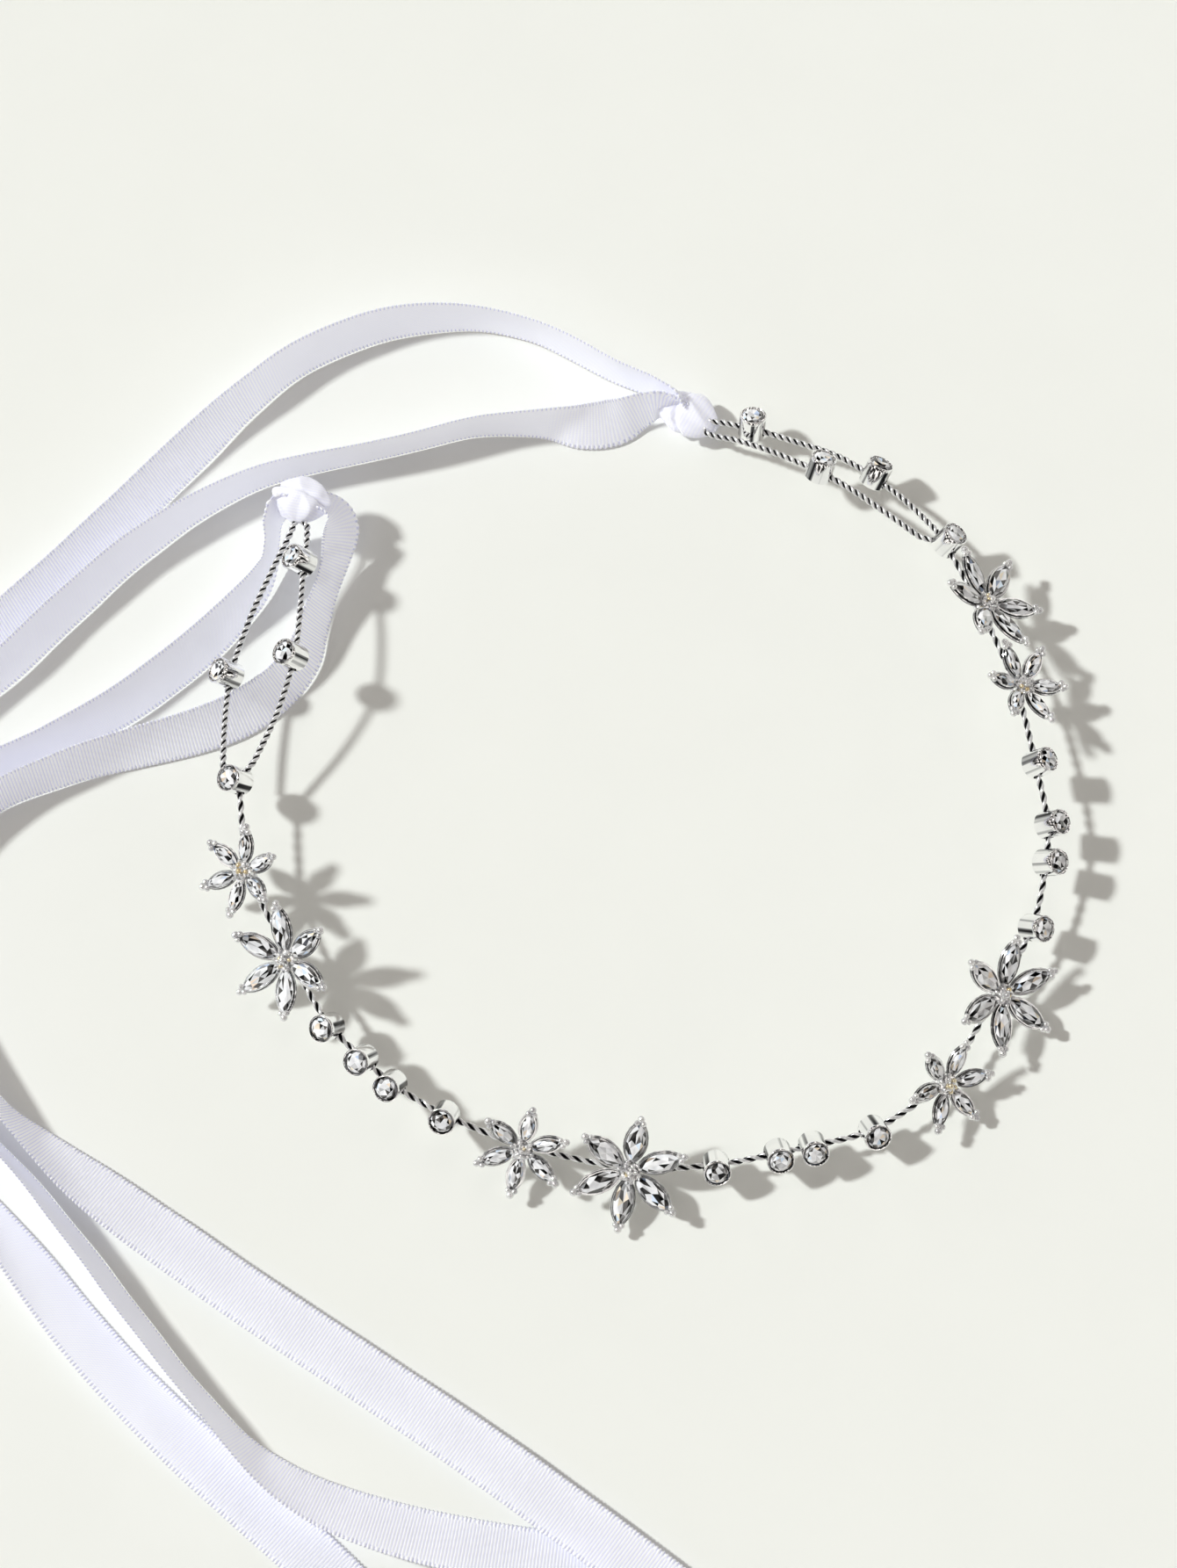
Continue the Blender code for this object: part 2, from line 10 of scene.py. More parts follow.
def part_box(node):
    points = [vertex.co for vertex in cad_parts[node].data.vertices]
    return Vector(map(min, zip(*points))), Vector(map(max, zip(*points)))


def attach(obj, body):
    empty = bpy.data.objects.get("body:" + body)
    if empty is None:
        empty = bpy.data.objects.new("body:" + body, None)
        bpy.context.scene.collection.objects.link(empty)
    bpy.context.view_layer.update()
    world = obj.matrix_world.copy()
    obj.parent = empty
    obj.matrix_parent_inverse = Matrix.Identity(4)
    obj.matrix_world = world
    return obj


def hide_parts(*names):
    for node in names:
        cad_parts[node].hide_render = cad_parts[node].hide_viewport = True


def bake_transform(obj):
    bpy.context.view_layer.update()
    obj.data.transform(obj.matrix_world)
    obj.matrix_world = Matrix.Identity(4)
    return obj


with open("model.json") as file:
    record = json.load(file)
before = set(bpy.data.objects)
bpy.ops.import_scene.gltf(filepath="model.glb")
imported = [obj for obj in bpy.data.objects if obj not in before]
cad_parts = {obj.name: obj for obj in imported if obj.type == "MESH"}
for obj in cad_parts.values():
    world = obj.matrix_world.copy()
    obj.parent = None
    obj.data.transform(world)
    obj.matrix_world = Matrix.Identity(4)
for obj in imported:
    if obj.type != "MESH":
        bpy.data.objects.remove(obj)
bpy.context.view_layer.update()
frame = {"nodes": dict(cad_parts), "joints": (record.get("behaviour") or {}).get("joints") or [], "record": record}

mm = 0.001
up = Vector((0, 0, 1))
ring = dict(centre=Vector((1.5 * mm, 0.5 * mm, 0)), radius=76 * mm)
print("crown: frame loaded")


def metres(values):
    return Vector([v * mm for v in values])


def smoothPath(points, step):
    # centripetal Catmull-Rom through the points, about one step apart
    ends = [2 * points[0] - points[1], *points, 2 * points[-1] - points[-2]]
    path = []
    for a, b, c, d in zip(ends, ends[1:], ends[2:], ends[3:]):
        count = max(1, round((c - b).length / step))
        t1 = (b - a).length ** 0.5
        t2 = t1 + (c - b).length ** 0.5
        t3 = t2 + (d - c).length ** 0.5
        for i in range(count):
            t = t1 + (t2 - t1) * i / count
            p = a.lerp(b, t / t1)
            q = b.lerp(c, (t - t1) / (t2 - t1))
            r = c.lerp(d, (t - t2) / (t3 - t2))
            path.append(p.lerp(q, t / t2).lerp(q.lerp(r, (t - t1) / (t3 - t1)), (t - t1) / (t2 - t1)))
    path.append(points[-1])
    return path


def ringPoint(angle, out, height):
    reach = ring["radius"] + out * mm
    turn = math.radians(angle)
    return ring["centre"] + Vector((reach * math.sin(turn), -reach * math.cos(turn), height * mm))


def linked(name, data):
    obj = bpy.data.objects.new(name, data)
    bpy.context.scene.collection.objects.link(obj)
    return obj


def evaluatedMesh(obj):
    # a plain mesh of the object with its modifiers applied
    bpy.context.view_layer.update()
    graph = bpy.context.evaluated_depsgraph_get()
    return bpy.data.meshes.new_from_object(obj.evaluated_get(graph))


def fixNormals(obj):
    work = bmesh.new()
    work.from_mesh(obj.data)
    bmesh.ops.recalc_face_normals(work, faces=work.faces)
    work.to_mesh(obj.data)
    work.free()


def smoothUpTo(obj, degrees):
    obj.data.shade_smooth()
    obj.data.set_sharp_from_angle(angle=math.radians(degrees))


def pointValues(mesh, name, values):
    layer = mesh.attributes.new(name, "FLOAT", "POINT")
    for item, value in zip(layer.data, values):
        item.value = value


def ribbonUv(mesh, places):
    # one (along, across) for each point, in metres
    layer = mesh.uv_layers.new(name="ribbon")
    for corner in mesh.loops:
        layer.data[corner.index].uv = places[corner.vertex_index]


def meshObject(name, verts, faces, material=None, smooth=False):
    mesh = bpy.data.meshes.new(name)
    mesh.from_pydata([tuple(v) for v in verts], [], faces)
    mesh.update()
    obj = linked(name, mesh)
    if material:
        mesh.materials.append(material)
    if smooth:
        mesh.shade_smooth()
    return obj


class Shape:
    # a growing list of points and faces, with a shade for each face
    def __init__(self):
        self.verts, self.faces, self.shades = [], [], []

    def add(self, verts, faces, place=None, shades=None):
        start = len(self.verts)
        self.verts += [place @ Vector(v) if place else Vector(v) for v in verts]
        self.faces += [tuple(i + start for i in face) for face in faces]
        self.shades += shades or [(1, 1, 1)] * len(faces)

    def build(self, name, material, layerName):
        obj = meshObject(name, self.verts, self.faces, material)
        layer = obj.data.color_attributes.new(layerName, "FLOAT_COLOR", "CORNER")
        for polygon, shade in zip(obj.data.polygons, self.shades):
            for loop in polygon.loop_indices:
                layer.data[loop].color = (*shade, 1)
        return obj


def turned(profile, segments):
    # a profile of (radius, height), closed on the axis at both ends, bottom first
    verts = [(0, 0, profile[0][1])]
    faces = []
    rings = profile[1:-1]
    for radius, height in rings:
        for i in range(segments):
            turn = 2 * math.pi * i / segments
            verts.append((radius * math.cos(turn), radius * math.sin(turn), height))
    verts.append((0, 0, profile[-1][1]))
    last = len(verts) - 1
    for i in range(segments):
        j = (i + 1) % segments
        faces.append((0, 1 + j, 1 + i))
        for k in range(len(rings) - 1):
            a = 1 + k * segments
            b = a + segments
            faces.append((a + i, a + j, b + j, b + i))
        top = 1 + (len(rings) - 1) * segments
        faces.append((top + i, top + j, last))
    return verts, faces


def closedTube(path, radius, sides):
    # a tube round a closed path that lies near one plane
    verts, faces = [], []
    count = len(path)
    for i, point in enumerate(path):
        run = (path[(i + 1) % count] - path[i - 1]).normalized()
        side = run.cross(up).normalized()
        rise = side.cross(run)
        for k in range(sides):
            turn = 2 * math.pi * k / sides
            verts.append(point + side * radius * math.cos(turn) + rise * radius * math.sin(turn))
    for i in range(count):
        for k in range(sides):
            a, b = i * sides, ((i + 1) % count) * sides
            m = (k + 1) % sides
            faces.append((a + k, a + m, b + m, b + k))
    return verts, faces


def faceFrame(place, run, face):
    # X along the wire, Z the way the piece looks
    run = (run - face * run.dot(face)).normalized()
    matrix = Matrix((run, face.cross(run), face)).transposed().to_4x4()
    matrix.translation = place
    return matrix


def leanFrame(place, run, lean):
    run = run.normalized()
    out = run.cross(up).normalized()
    if out.dot(place - ring["centre"]) < 0:
        run, out = -run, -out
    rise = out.cross(run)
    return faceFrame(place, run, out * math.cos(math.radians(lean)) + rise * math.sin(math.radians(lean)))


def shaderOf(material):
    return material.node_tree.nodes["Principled BSDF"]


def newMaterial(name, **sockets):
    material = bpy.data.materials.new(name)
    material.use_nodes = True
    shader = shaderOf(material)
    for socket, value in sockets.items():
        shader.inputs[socket.replace("_", " ")].default_value = value
    return material


def addNode(material, kind, **settings):
    node = material.node_tree.nodes.new(kind)
    for name, value in settings.items():
        if name.startswith("in_"):
            node.inputs[name[3:].replace("_", " ")].default_value = value
        else:
            setattr(node, name, value)
    return node


def link(material, source, target):
    material.node_tree.links.new(source, target)


def mathNode(material, operation, a, b=None, clamp=False):
    node = addNode(material, "ShaderNodeMath", operation=operation, use_clamp=clamp)
    for socket, value in zip(node.inputs, (a, b)):
        if value is None:
            continue
        if isinstance(value, (int, float)):
            socket.default_value = value
        else:
            link(material, value, socket)
    return node.outputs[0]


def bumped(material, height, strength, distance):
    bump = addNode(material, "ShaderNodeBump", in_Strength=strength, in_Distance=distance)
    link(material, height, bump.inputs["Height"])
    link(material, bump.outputs["Normal"], shaderOf(material).inputs["Normal"])


def ramp(material, value, stops):
    node = addNode(material, "ShaderNodeValToRGB")
    elements = node.color_ramp.elements
    while len(elements) < len(stops):
        elements.new(0.5)
    for element, (position, colour) in zip(elements, stops):
        element.position = position
        element.color = (*colour, 1)
    link(material, value, node.inputs["Fac"])
    return node.outputs["Color"]


def tinted(material, first, second):
    # two colours multiplied
    mix = addNode(material, "ShaderNodeMix", data_type="RGBA", blend_type="MULTIPLY")
    mix.inputs["Factor"].default_value = 1.0
    link(material, first, mix.inputs[6])
    link(material, second, mix.inputs[7])
    return mix.outputs[2]


def silverMaterial(name, look):
    # bright plate with faint clouding, painted dark where the piece's own shade attribute is low: painted shade in
    # the wire's groove and on the flower plates, painted reflection streaks on the cups
    material = newMaterial(name, Metallic=look["metal"], Specular_IOR_Level=0.5)
    shader = shaderOf(material)
    coords = addNode(material, "ShaderNodeTexCoord").outputs["Object"]
    cloud = addNode(material, "ShaderNodeTexNoise", in_Scale=look["cloud"], in_Detail=4.0)
    fine = addNode(material, "ShaderNodeTexNoise", in_Scale=look["grain"], in_Detail=2.0)
    for texture in (cloud, fine):
        link(material, coords, texture.inputs["Vector"])
    colour = ramp(material, cloud.outputs["Fac"], ((0.3, look["dull"]), (0.62, look["bright"])))
    shade = addNode(material, "ShaderNodeAttribute", attribute_name="shade").outputs["Fac"]
    shade = ramp(material, shade, look["paintedDarkRamp"])
    link(material, tinted(material, colour, shade), shader.inputs["Base Color"])
    rough = addNode(material, "ShaderNodeMapRange", in_To_Min=look["rough"][0], in_To_Max=look["rough"][1])
    link(material, fine.outputs["Fac"], rough.inputs["Value"])
    link(material, rough.outputs["Result"], shader.inputs["Roughness"])
    bumped(material, fine.outputs["Fac"], look["bump"], 0.02 * mm)
    return material


def crystalMaterial(name, look):
    # foil-backed glass: the light each facet sends back is painted into its colour as a fixed bright or dark tone
    # (painted reflection), under a clear hard surface
    material = newMaterial(
        name, Metallic=look["metallic"], Roughness=look["rough"], IOR=1.56,
        Coat_Weight=1.0, Coat_Roughness=0.02, Coat_IOR=1.56,
    )
    facet = addNode(material, "ShaderNodeVertexColor", layer_name="facet").outputs["Color"]
    coords = addNode(material, "ShaderNodeTexCoord").outputs["Object"]
    # painted sparkle: the base colour is lifted above white near the middle of each small cell
    spark = addNode(material, "ShaderNodeTexVoronoi", in_Scale=look["spark"])
    link(material, coords, spark.inputs["Vector"])
    paintedGlow = ramp(material, spark.outputs["Distance"], ((0.0, (1.10, 1.10, 1.10)), (0.8, (0.90, 0.905, 0.92))))
    link(material, tinted(material, facet, paintedGlow), shaderOf(material).inputs["Base Color"])
    return material


def satinMaterial(name, look):
    # woven satin: fine slanting floats on the face, crosswise ribs on the back, beads along the edges
    material = newMaterial(
        name, Roughness=look["rough"], Sheen_Weight=look["sheen"], Sheen_Roughness=0.35,
        Specular_IOR_Level=0.45, Subsurface_Weight=look["through"], Subsurface_Scale=1.0 * mm,
        Subsurface_Radius=(1.0, 1.0, 1.0), Emission_Color=(0.80, 0.82, 1.0, 1.0),
        Emission_Strength=look["paintedGlow"],  # painted light: an even glow that stands in for light shining through and bouncing off the satin
    )

    def times(a, b):
        return mathNode(material, "MULTIPLY", a, b)

    def plus(a, b, clamp=False):
        return mathNode(material, "ADD", a, b, clamp=clamp)

    def wave(value, pitch):
        return mathNode(material, "SINE", times(value, 2 * math.pi / pitch))

    uv = addNode(material, "ShaderNodeUVMap", uv_map="ribbon").outputs["UV"]
    parts = addNode(material, "ShaderNodeSeparateXYZ")
    link(material, uv, parts.inputs["Vector"])
    along, across = parts.outputs["X"], parts.outputs["Y"]
    floats = times(wave(plus(along, times(across, look["slant"])), look["float"]), look["floatHeight"])
    warp = times(wave(across, look["warp"]), look["warpHeight"])
    weave = addNode(material, "ShaderNodeMix", data_type="FLOAT")
    ribbed = addNode(material, "ShaderNodeAttribute", attribute_name="ribbed").outputs["Fac"]
    link(material, ribbed, weave.inputs["Factor"])
    link(material, plus(floats, warp), weave.inputs[2])
    link(material, times(wave(along, look["rib"]), look["ribHeight"]), weave.inputs[3])
    edge = mathNode(material, "SUBTRACT", mathNode(material, "ABSOLUTE", across), look["selvedge"])
    edge = mathNode(material, "MULTIPLY", edge, 1 / look["selvedgeWidth"], clamp=True)
    beads = times(times(wave(along, look["picot"]), edge), look["beadHeight"])
    bumped(material, plus(weave.outputs[0], beads), look["bump"], 0.06 * mm)
    # painted shade and highlight: the weave's hollows and the gaps between picots are painted a darker lavender,
    # their tops lighter
    shade = plus(times(weave.outputs[0], look["weaveShading"]), times(beads, look["beadShading"]))
    colour = ramp(material, plus(shade, 0.5, clamp=True),
                  ((0.0, look["shade"]), (0.6, look["colour"]), (1.0, look["light"])))
    link(material, colour, shaderOf(material).inputs["Base Color"])
    return material


black, grey, white = (0.012, 0.012, 0.014), (0.35, 0.35, 0.36), (1.0, 1.0, 1.0)
# the wire's paintedDarkRamp paints shade into the groove between the strands
wireLook = dict(metal=0.70, cloud=420.0, grain=5200.0, dull=(0.70, 0.70, 0.72), bright=(0.97, 0.97, 0.98),
                rough=(0.08, 0.20), bump=0.25, paintedDarkRamp=((0.70, black), (0.84, white)))
# the cups' paintedDarkRamp turns the painted reflection streaks into black, grey and white
cupLook = dict(metal=1.0, cloud=180.0, grain=3200.0, dull=(0.86, 0.86, 0.87), bright=(0.98, 0.98, 0.98),
               rough=(0.04, 0.12), bump=0.12, paintedDarkRamp=((0.18, black), (0.34, grey), (0.52, white)))
castLook = dict(metal=0.80, cloud=700.0, grain=4200.0, dull=(0.62, 0.62, 0.64), bright=(0.98, 0.98, 0.98),
                rough=(0.06, 0.16), bump=0.20, paintedDarkRamp=((0.10, black), (0.90, white)))
goldLook = dict(metal=1.0, cloud=300.0, grain=4200.0, dull=(0.86, 0.70, 0.42), bright=(0.98, 0.88, 0.66),
                rough=(0.10, 0.22), bump=0.15, paintedDarkRamp=((0.0, white), (1.0, white)))
crystalLook = dict(metallic=0.06, rough=0.06, spark=900.0)
satinLook = dict(rough=0.36, sheen=0.30, through=0.5, paintedGlow=0.14, slant=0.7,
                 rib=0.62 * mm, float=0.34 * mm, warp=0.42 * mm, picot=0.80 * mm,
                 ribHeight=0.46, floatHeight=0.16, warpHeight=0.08, beadHeight=1.3, bump=0.70,
                 selvedge=4.30 * mm, selvedgeWidth=0.35 * mm, weaveShading=0.5, beadShading=0.42,
                 shade=(0.48, 0.48, 0.64), colour=(0.90, 0.90, 0.97), light=(1.0, 1.0, 1.0))

wireSilver = silverMaterial("wireSilver", wireLook)
cupSilver = silverMaterial("cupSilver", cupLook)
castSilver = silverMaterial("castSilver", castLook)
paleGold = silverMaterial("paleGold", goldLook)
crystal = crystalMaterial("crystal", crystalLook)
satin = satinMaterial("satin", satinLook)
print("crown: materials made")


view = dict(place=(-105.7, -244.8, 858.3), target=(-8.1, 7.6, 0.0), lens=107.09)
light = dict(sunTravel=(0.86, -0.55, -1.0), sunStrength=2.65, sunAngle=math.radians(5),
             sunColour=(0.965, 1.0, 0.985), worldStrength=0.74, panelScale=4.2,
             panels=((0.455, (0.010, 0.010, 0.010)), (0.485, (0.16, 0.15, 0.14)),
                     (0.53, (0.67, 0.63, 0.60)), (0.57, (1.74, 1.66, 1.58))))


def makeCamera():
    data = bpy.data.cameras.new("camera")
    data.lens = view["lens"]
    data.sensor_width = 36
    data.clip_start = 0.01
    camera = linked("camera", data)
    place, target = metres(view["place"]), metres(view["target"])
    camera.location = place
    camera.rotation_euler = (target - place).to_track_quat("-Z", "Y").to_euler()
    bpy.context.scene.camera = camera


def makeLight():
    lamp = bpy.data.lights.new("sun", "SUN")
    lamp.energy = light["sunStrength"]
    lamp.angle = light["sunAngle"]
    lamp.color = light["sunColour"]
    sun = linked("sun", lamp)
    sun.rotation_euler = Vector(light["sunTravel"]).to_track_quat("-Z", "Y").to_euler()
    world = bpy.data.worlds.new("studio")
    bpy.context.scene.world = world
    world.use_nodes = True
    panels = addNode(world, "ShaderNodeTexNoise", in_Scale=light["panelScale"], in_Detail=1.0)
    link(world, addNode(world, "ShaderNodeTexCoord").outputs["Generated"], panels.inputs["Vector"])
    background = world.node_tree.nodes["Background"]
    link(world, ramp(world, panels.outputs["Fac"], light["panels"]), background.inputs["Color"])
    background.inputs["Strength"].default_value = light["worldStrength"]


def makeFloor():
    floor = meshObject("floor", [(-3, -3, 0), (3, -3, 0), (3, 3, 0), (-3, 3, 0)], [(0, 1, 2, 3)])
    material = newMaterial("floor", Roughness=0.85, Specular_IOR_Level=0.2)
    coords = addNode(material, "ShaderNodeTexCoord").outputs["Object"]
    speck = addNode(material, "ShaderNodeTexNoise", in_Scale=40.0, in_Detail=3.0)
    link(material, coords, speck.inputs["Vector"])
    tones = ((0.3, (0.862, 0.868, 0.832)), (0.7, (0.872, 0.878, 0.842)))
    colour = ramp(material, speck.outputs["Fac"], tones)
    link(material, colour, shaderOf(material).inputs["Base Color"])
    floor.data.materials.append(material)


makeCamera()
makeLight()
makeFloor()
bpy.context.scene.view_settings.view_transform = "Standard"
print("crown: camera, light and floor set")


ribbon = dict(width=10.5 * mm, solid=0.3 * mm, thickness=0.18 * mm, picot=0.80 * mm, picotReach=0.42 * mm,
              edge=0.50 * mm, samples=4, gather=0.5, spread=9 * mm, pleat=0.7 * mm, pleats=7.5,
              curl=0.25 * mm, waves=((0.10 * mm, 7.3 * mm, 0.0), (0.06 * mm, 2.9 * mm, 1.3)))

# x and y from the ring's centre and lift of the lower edge in mm, and the lean of the width
tails = {
    "left_inner": dict(arm="left_arm", reach=0.055, ribbed=((0.0, 0.0), (0.03, 1.0)),
                       tied=dict(place=(-41.0, 76.4, 12.4), lean=35, over=24 * mm, shift=(-2.4, 0.0)), route=(
        (-38.2, 75.2, 6.8, 90), (-36.3, 73.2, 5.6, 90), (-35.8, 70.2, 4.0, 85), (-37.3, 66.6, 2.2, 80),
        (-39.8, 62.8, 1.0, 75), (-43.6, 58.5, 0.3, 68), (-47.8, 54.4, 0.2, 62), (-52.2, 50.0, 0.2, 56),
        (-58.0, 46.2, 0.2, 52), (-65.6, 43.8, 0.2, 48), (-77.2, 43.2, 0.2, 52), (-90.0, 44.2, 0.2, 60),
        (-103.0, 45.0, 0.2, 68), (-116.5, 44.4, 0.2, 75), (-128.0, 40.6, 0.2, 78), (-136.5, 33.0, 0.2, 80),
        (-140.8, 22.5, 0.2, 80), (-141.4, 10.5, 0.2, 80), (-139.5, -1.5, 0.2, 78), (-136.4, -13.0, 0.2, 72),
        (-131.2, -24.0, 0.4, 50), (-124.6, -35.0, 0.7, 24), (-115.0, -49.2, 1.0, 10),
        (-104.4, -65.0, 1.2, 6), (-91.3, -83.4, 1.4, 5), (-78.4, -101.8, 1.6, 4), (-67.0, -119.0, 1.8, 3),
        (-56.4, -135.6, 1.8, 3), (-48.6, -148.4, 1.6, 3))),
    "left_outer": dict(arm="left_arm", reach=0.055, ribbed=((0.0, 0.0), (0.24, 0.0), (0.26, 1.0)),
                       tied=dict(place=(-43.6, 77.0, 12.4), lean=60, over=14 * mm, shift=(0.0, 0.0)), route=(
        (-46.4, 78.1, 6.8, 90), (-48.5, 76.3, 5.2, 88), (-50.3, 73.0, 3.2, 84), (-52.5, 69.7, 1.2, 78),
        (-55.8, 66.6, 0.3, 70), (-60.6, 63.6, 0.2, 64), (-67.0, 60.4, 0.2, 58), (-80.0, 55.6, 0.2, 56),
        (-92.0, 52.6, 0.2, 60), (-104.0, 50.9, 0.2, 68), (-118.0, 49.6, 0.2, 75), (-131.6, 45.2, 0.2, 78),
        (-142.2, 36.6, 0.2, 80), (-147.6, 24.4, 0.2, 80), (-148.2, 10.5, 0.2, 80), (-145.8, -3.0, 0.2, 80),
        (-141.6, -15.0, 0.2, 78), (-136.8, -27.0, 0.2, 74), (-131.6, -43.0, 0.2, 70),
        (-126.6, -59.0, 0.2, 68), (-121.6, -75.0, 0.2, 68), (-116.6, -88.6, 0.2, 62),
        (-111.0, -98.6, 0.2, 44), (-103.0, -107.4, 0.2, 26), (-93.0, -115.4, 0.2, 14),
        (-82.0, -122.6, 0.2, 6), (-70.0, -129.4, 0.2, 3), (-60.0, -134.6, 0.2, 2))),
    "right_inner": dict(arm="right_arm", reach=0.065,
                        ribbed=((0.0, 1.0), (0.03, 0.0), (0.33, 0.0), (0.345, 1.0)),
                        tied=dict(place=(35.4, 71.0, 4.2), lean=62, over=12 * mm, shift=(0.0, 0.0)), route=(
        (31.0, 73.6, 0.3, 88), (27.2, 73.9, 0.3, 70), (21.8, 73.8, 0.2, 50), (15.8, 75.0, 0.2, 54),
        (9.0, 77.8, 0.2, 76), (-3.1, 82.0, 0.2, 88), (-14.0, 83.6, 0.2, 90), (-26.0, 85.0, 0.2, 90),
        (-38.0, 86.8, 0.2, 88), (-50.4, 87.6, 0.2, 84), (-61.7, 86.2, 0.2, 78), (-74.0, 83.0, 0.2, 70),
        (-90.2, 76.4, 0.2, 64), (-107.2, 68.8, 0.2, 64), (-124.0, 62.4, 0.2, 68), (-139.0, 55.2, 0.2, 76),
        (-150.6, 43.6, 0.2, 80), (-156.8, 28.0, 0.2, 80), (-157.6, 11.5, 0.2, 80), (-154.8, -4.5, 0.2, 78),
        (-150.0, -19.5, 0.2, 66), (-145.0, -33.0, 0.2, 46), (-140.2, -47.6, 0.2, 28),
        (-135.2, -62.4, 0.2, 18), (-129.6, -76.0, 0.2, 12), (-123.6, -88.6, 0.2, 6),
        (-117.2, -100.8, 0.2, 3), (-111.0, -112.6, 0.2, 2), (-105.6, -124.0, 0.2, 2),
        (-101.6, -133.4, 0.2, 2))),
    "right_outer": dict(arm="right_arm", reach=0.065, ribbed=((0.0, 0.0), (0.085, 0.0), (0.10, 1.0)),
                        tied=dict(place=(35.6, 71.6, 4.4), lean=88, over=10 * mm, shift=(0.0, 0.0)), route=(
        (34.5, 74.5, 0.3, 88), (31.4, 77.6, 0.3, 88), (26.4, 82.6, 0.2, 86), (19.8, 90.4, 0.2, 84),
        (13.0, 97.6, 0.2, 86), (4.6, 103.4, 0.2, 84), (-4.0, 107.2, 0.2, 78), (-13.4, 109.2, 0.2, 74),
        (-23.8, 109.4, 0.2, 72), (-34.6, 107.8, 0.2, 70), (-44.0, 104.6, 0.2, 66), (-55.0, 99.8, 0.2, 56),
        (-69.8, 92.6, 0.2, 52), (-82.0, 87.0, 0.2, 52), (-94.0, 81.8, 0.2, 54), (-107.0, 76.6, 0.2, 60),
        (-124.0, 70.4, 0.2, 68), (-141.6, 63.2, 0.2, 76), (-156.2, 50.8, 0.2, 80), (-165.0, 33.0, 0.2, 80),
        (-168.0, 13.0, 0.2, 80), (-168.2, -7.0, 0.2, 80), (-169.0, -26.0, 0.2, 80), (-171.8, -44.0, 0.2, 76),
        (-176.0, -62.0, 0.2, 68), (-181.0, -80.0, 0.2, 56), (-186.4, -98.0, 0.2, 44))),
}


def easy(t):
    t = min(max(t, 0), 1)
    return t * t * (3 - 2 * t)


def stepValue(stops, s):
    # the value at s on a broken line of (s, value)
    for (s0, v0), (s1, v1) in zip(stops, stops[1:]):
        if s <= s1:
            return v0 + (v1 - v0) * max(0, s - s0) / (s1 - s0)
    return stops[-1][1]


def tailPath(route, tied, step):
    half = ribbon["width"] / 2
    points = [Vector((*(ring["centre"] + metres(tied["place"])), math.radians(route[0][3]) * mm))]
    for x, y, lift, lean in route:
        z = lift * mm + half * math.sin(math.radians(lean)) + ribbon["solid"] / 2
        points.append(Vector((*(ring["centre"] + Vector((x * mm, y * mm, z))), math.radians(lean) * mm)))
    return smoothPath(points, step)


def tailMesh(name, tail):
    # a strip swept along its route, with a looped picot every pitch along both edges
    step = ribbon["picot"] / ribbon["samples"]
    path = tailPath(tail["route"], tail["tied"], step)
    aside = metres((*tail["tied"]["shift"], 0))
    for i, place in enumerate(path):  # the fourth number is the lean, so 1 is taken off again
        drift = math.sin(math.pi * min(1, i * step / (1.6 * tail["tied"]["over"]))) ** 2
        path[i] = place + (aside * drift).to_4d() - Vector((0, 0, 0, 1))
    half = ribbon["width"] / 2
    inner = half - ribbon["edge"]
    verts, faces, uvs, ribbed = [], [], [], []
    s = 0.0
    stations = [-1.0, -0.5, 0.0, 0.5, 1.0]
    for i, place in enumerate(path):
        here = place.to_3d()
        if i:
            s += (here - path[i - 1].to_3d()).length
        loose = easy(s / tail["tied"]["over"])
        gather = ribbon["gather"] + (1 - ribbon["gather"]) * easy(s / ribbon["spread"])
        ahead = path[min(i + 1, len(path) - 1)].to_3d() - path[max(i - 1, 0)].to_3d()
        level = ahead.cross(up).normalized()
        steep = level.cross(ahead).normalized()
        lean = math.radians(tail["tied"]["lean"]) * (1 - loose) + place[3] / mm * loose
        width = level * math.cos(lean) + steep * math.sin(lean)
        face = width.cross(ahead).normalized()
        bead = abs(math.sin(math.pi * s / ribbon["picot"]))
        reach = inner + ribbon["edge"] * 0.55 + ribbon["picotReach"] * bead
        wall = ribbon["thickness"] / 2
        top = [(v * inner, wall) for v in stations]
        profile = [(-reach, 0), (-inner - 0.5 * (reach - inner), wall * (0.4 + 1.1 * bead)), *top,
                   (inner + 0.5 * (reach - inner), wall * (0.4 + 1.1 * bead)), (reach, 0)]
        profile += [(v, -h) for v, h in profile[-2:0:-1]]
        wave = sum(rise * math.sin(s / run + phase) for rise, run, phase in ribbon["waves"])
        for v, h in profile:
            curl = wave + ribbon["curl"] * (v / half) ** 2
            pleat = ribbon["pleat"] * (1 - easy(s / ribbon["spread"])) * math.cos(v / half * ribbon["pleats"])
            verts.append(here + width * v * gather + face * (h + curl + pleat))
            uvs.append((s, v))
            ribbed.append(stepValue(tail["ribbed"], s))
    count = len(profile)
    for i in range(len(path) - 1):
        a, b = i * count, (i + 1) * count
        for k in range(count):
            m = (k + 1) % count
            faces.append((a + k, b + k, b + m, a + m))
    last = (len(path) - 1) * count
    faces.append(tuple(range(count)))
    faces.append(tuple(reversed(range(last, last + count))))
    obj = meshObject(name, verts, faces, satin, smooth=True)
    fixNormals(obj)
    ribbonUv(obj.data, uvs)
    pointValues(obj.data, "ribbed", ribbed)
    return obj, [p.to_3d() for p in path[:: ribbon["samples"] * 4]] + [path[-1].to_3d()], s


for name, tail in tails.items():
    obj, line, length = tailMesh(f"ribbon_{name}", tail)
    way = next(p for p in line if (p - line[0]).length > tail["reach"])
    tuple(line[0])
    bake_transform(obj)
    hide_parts(f"ribbon_tail_{name}")
    tuple(line[0])
    [tuple(p) for p in line]
    print(f"crown: {name} tail, {length:.3f} m")


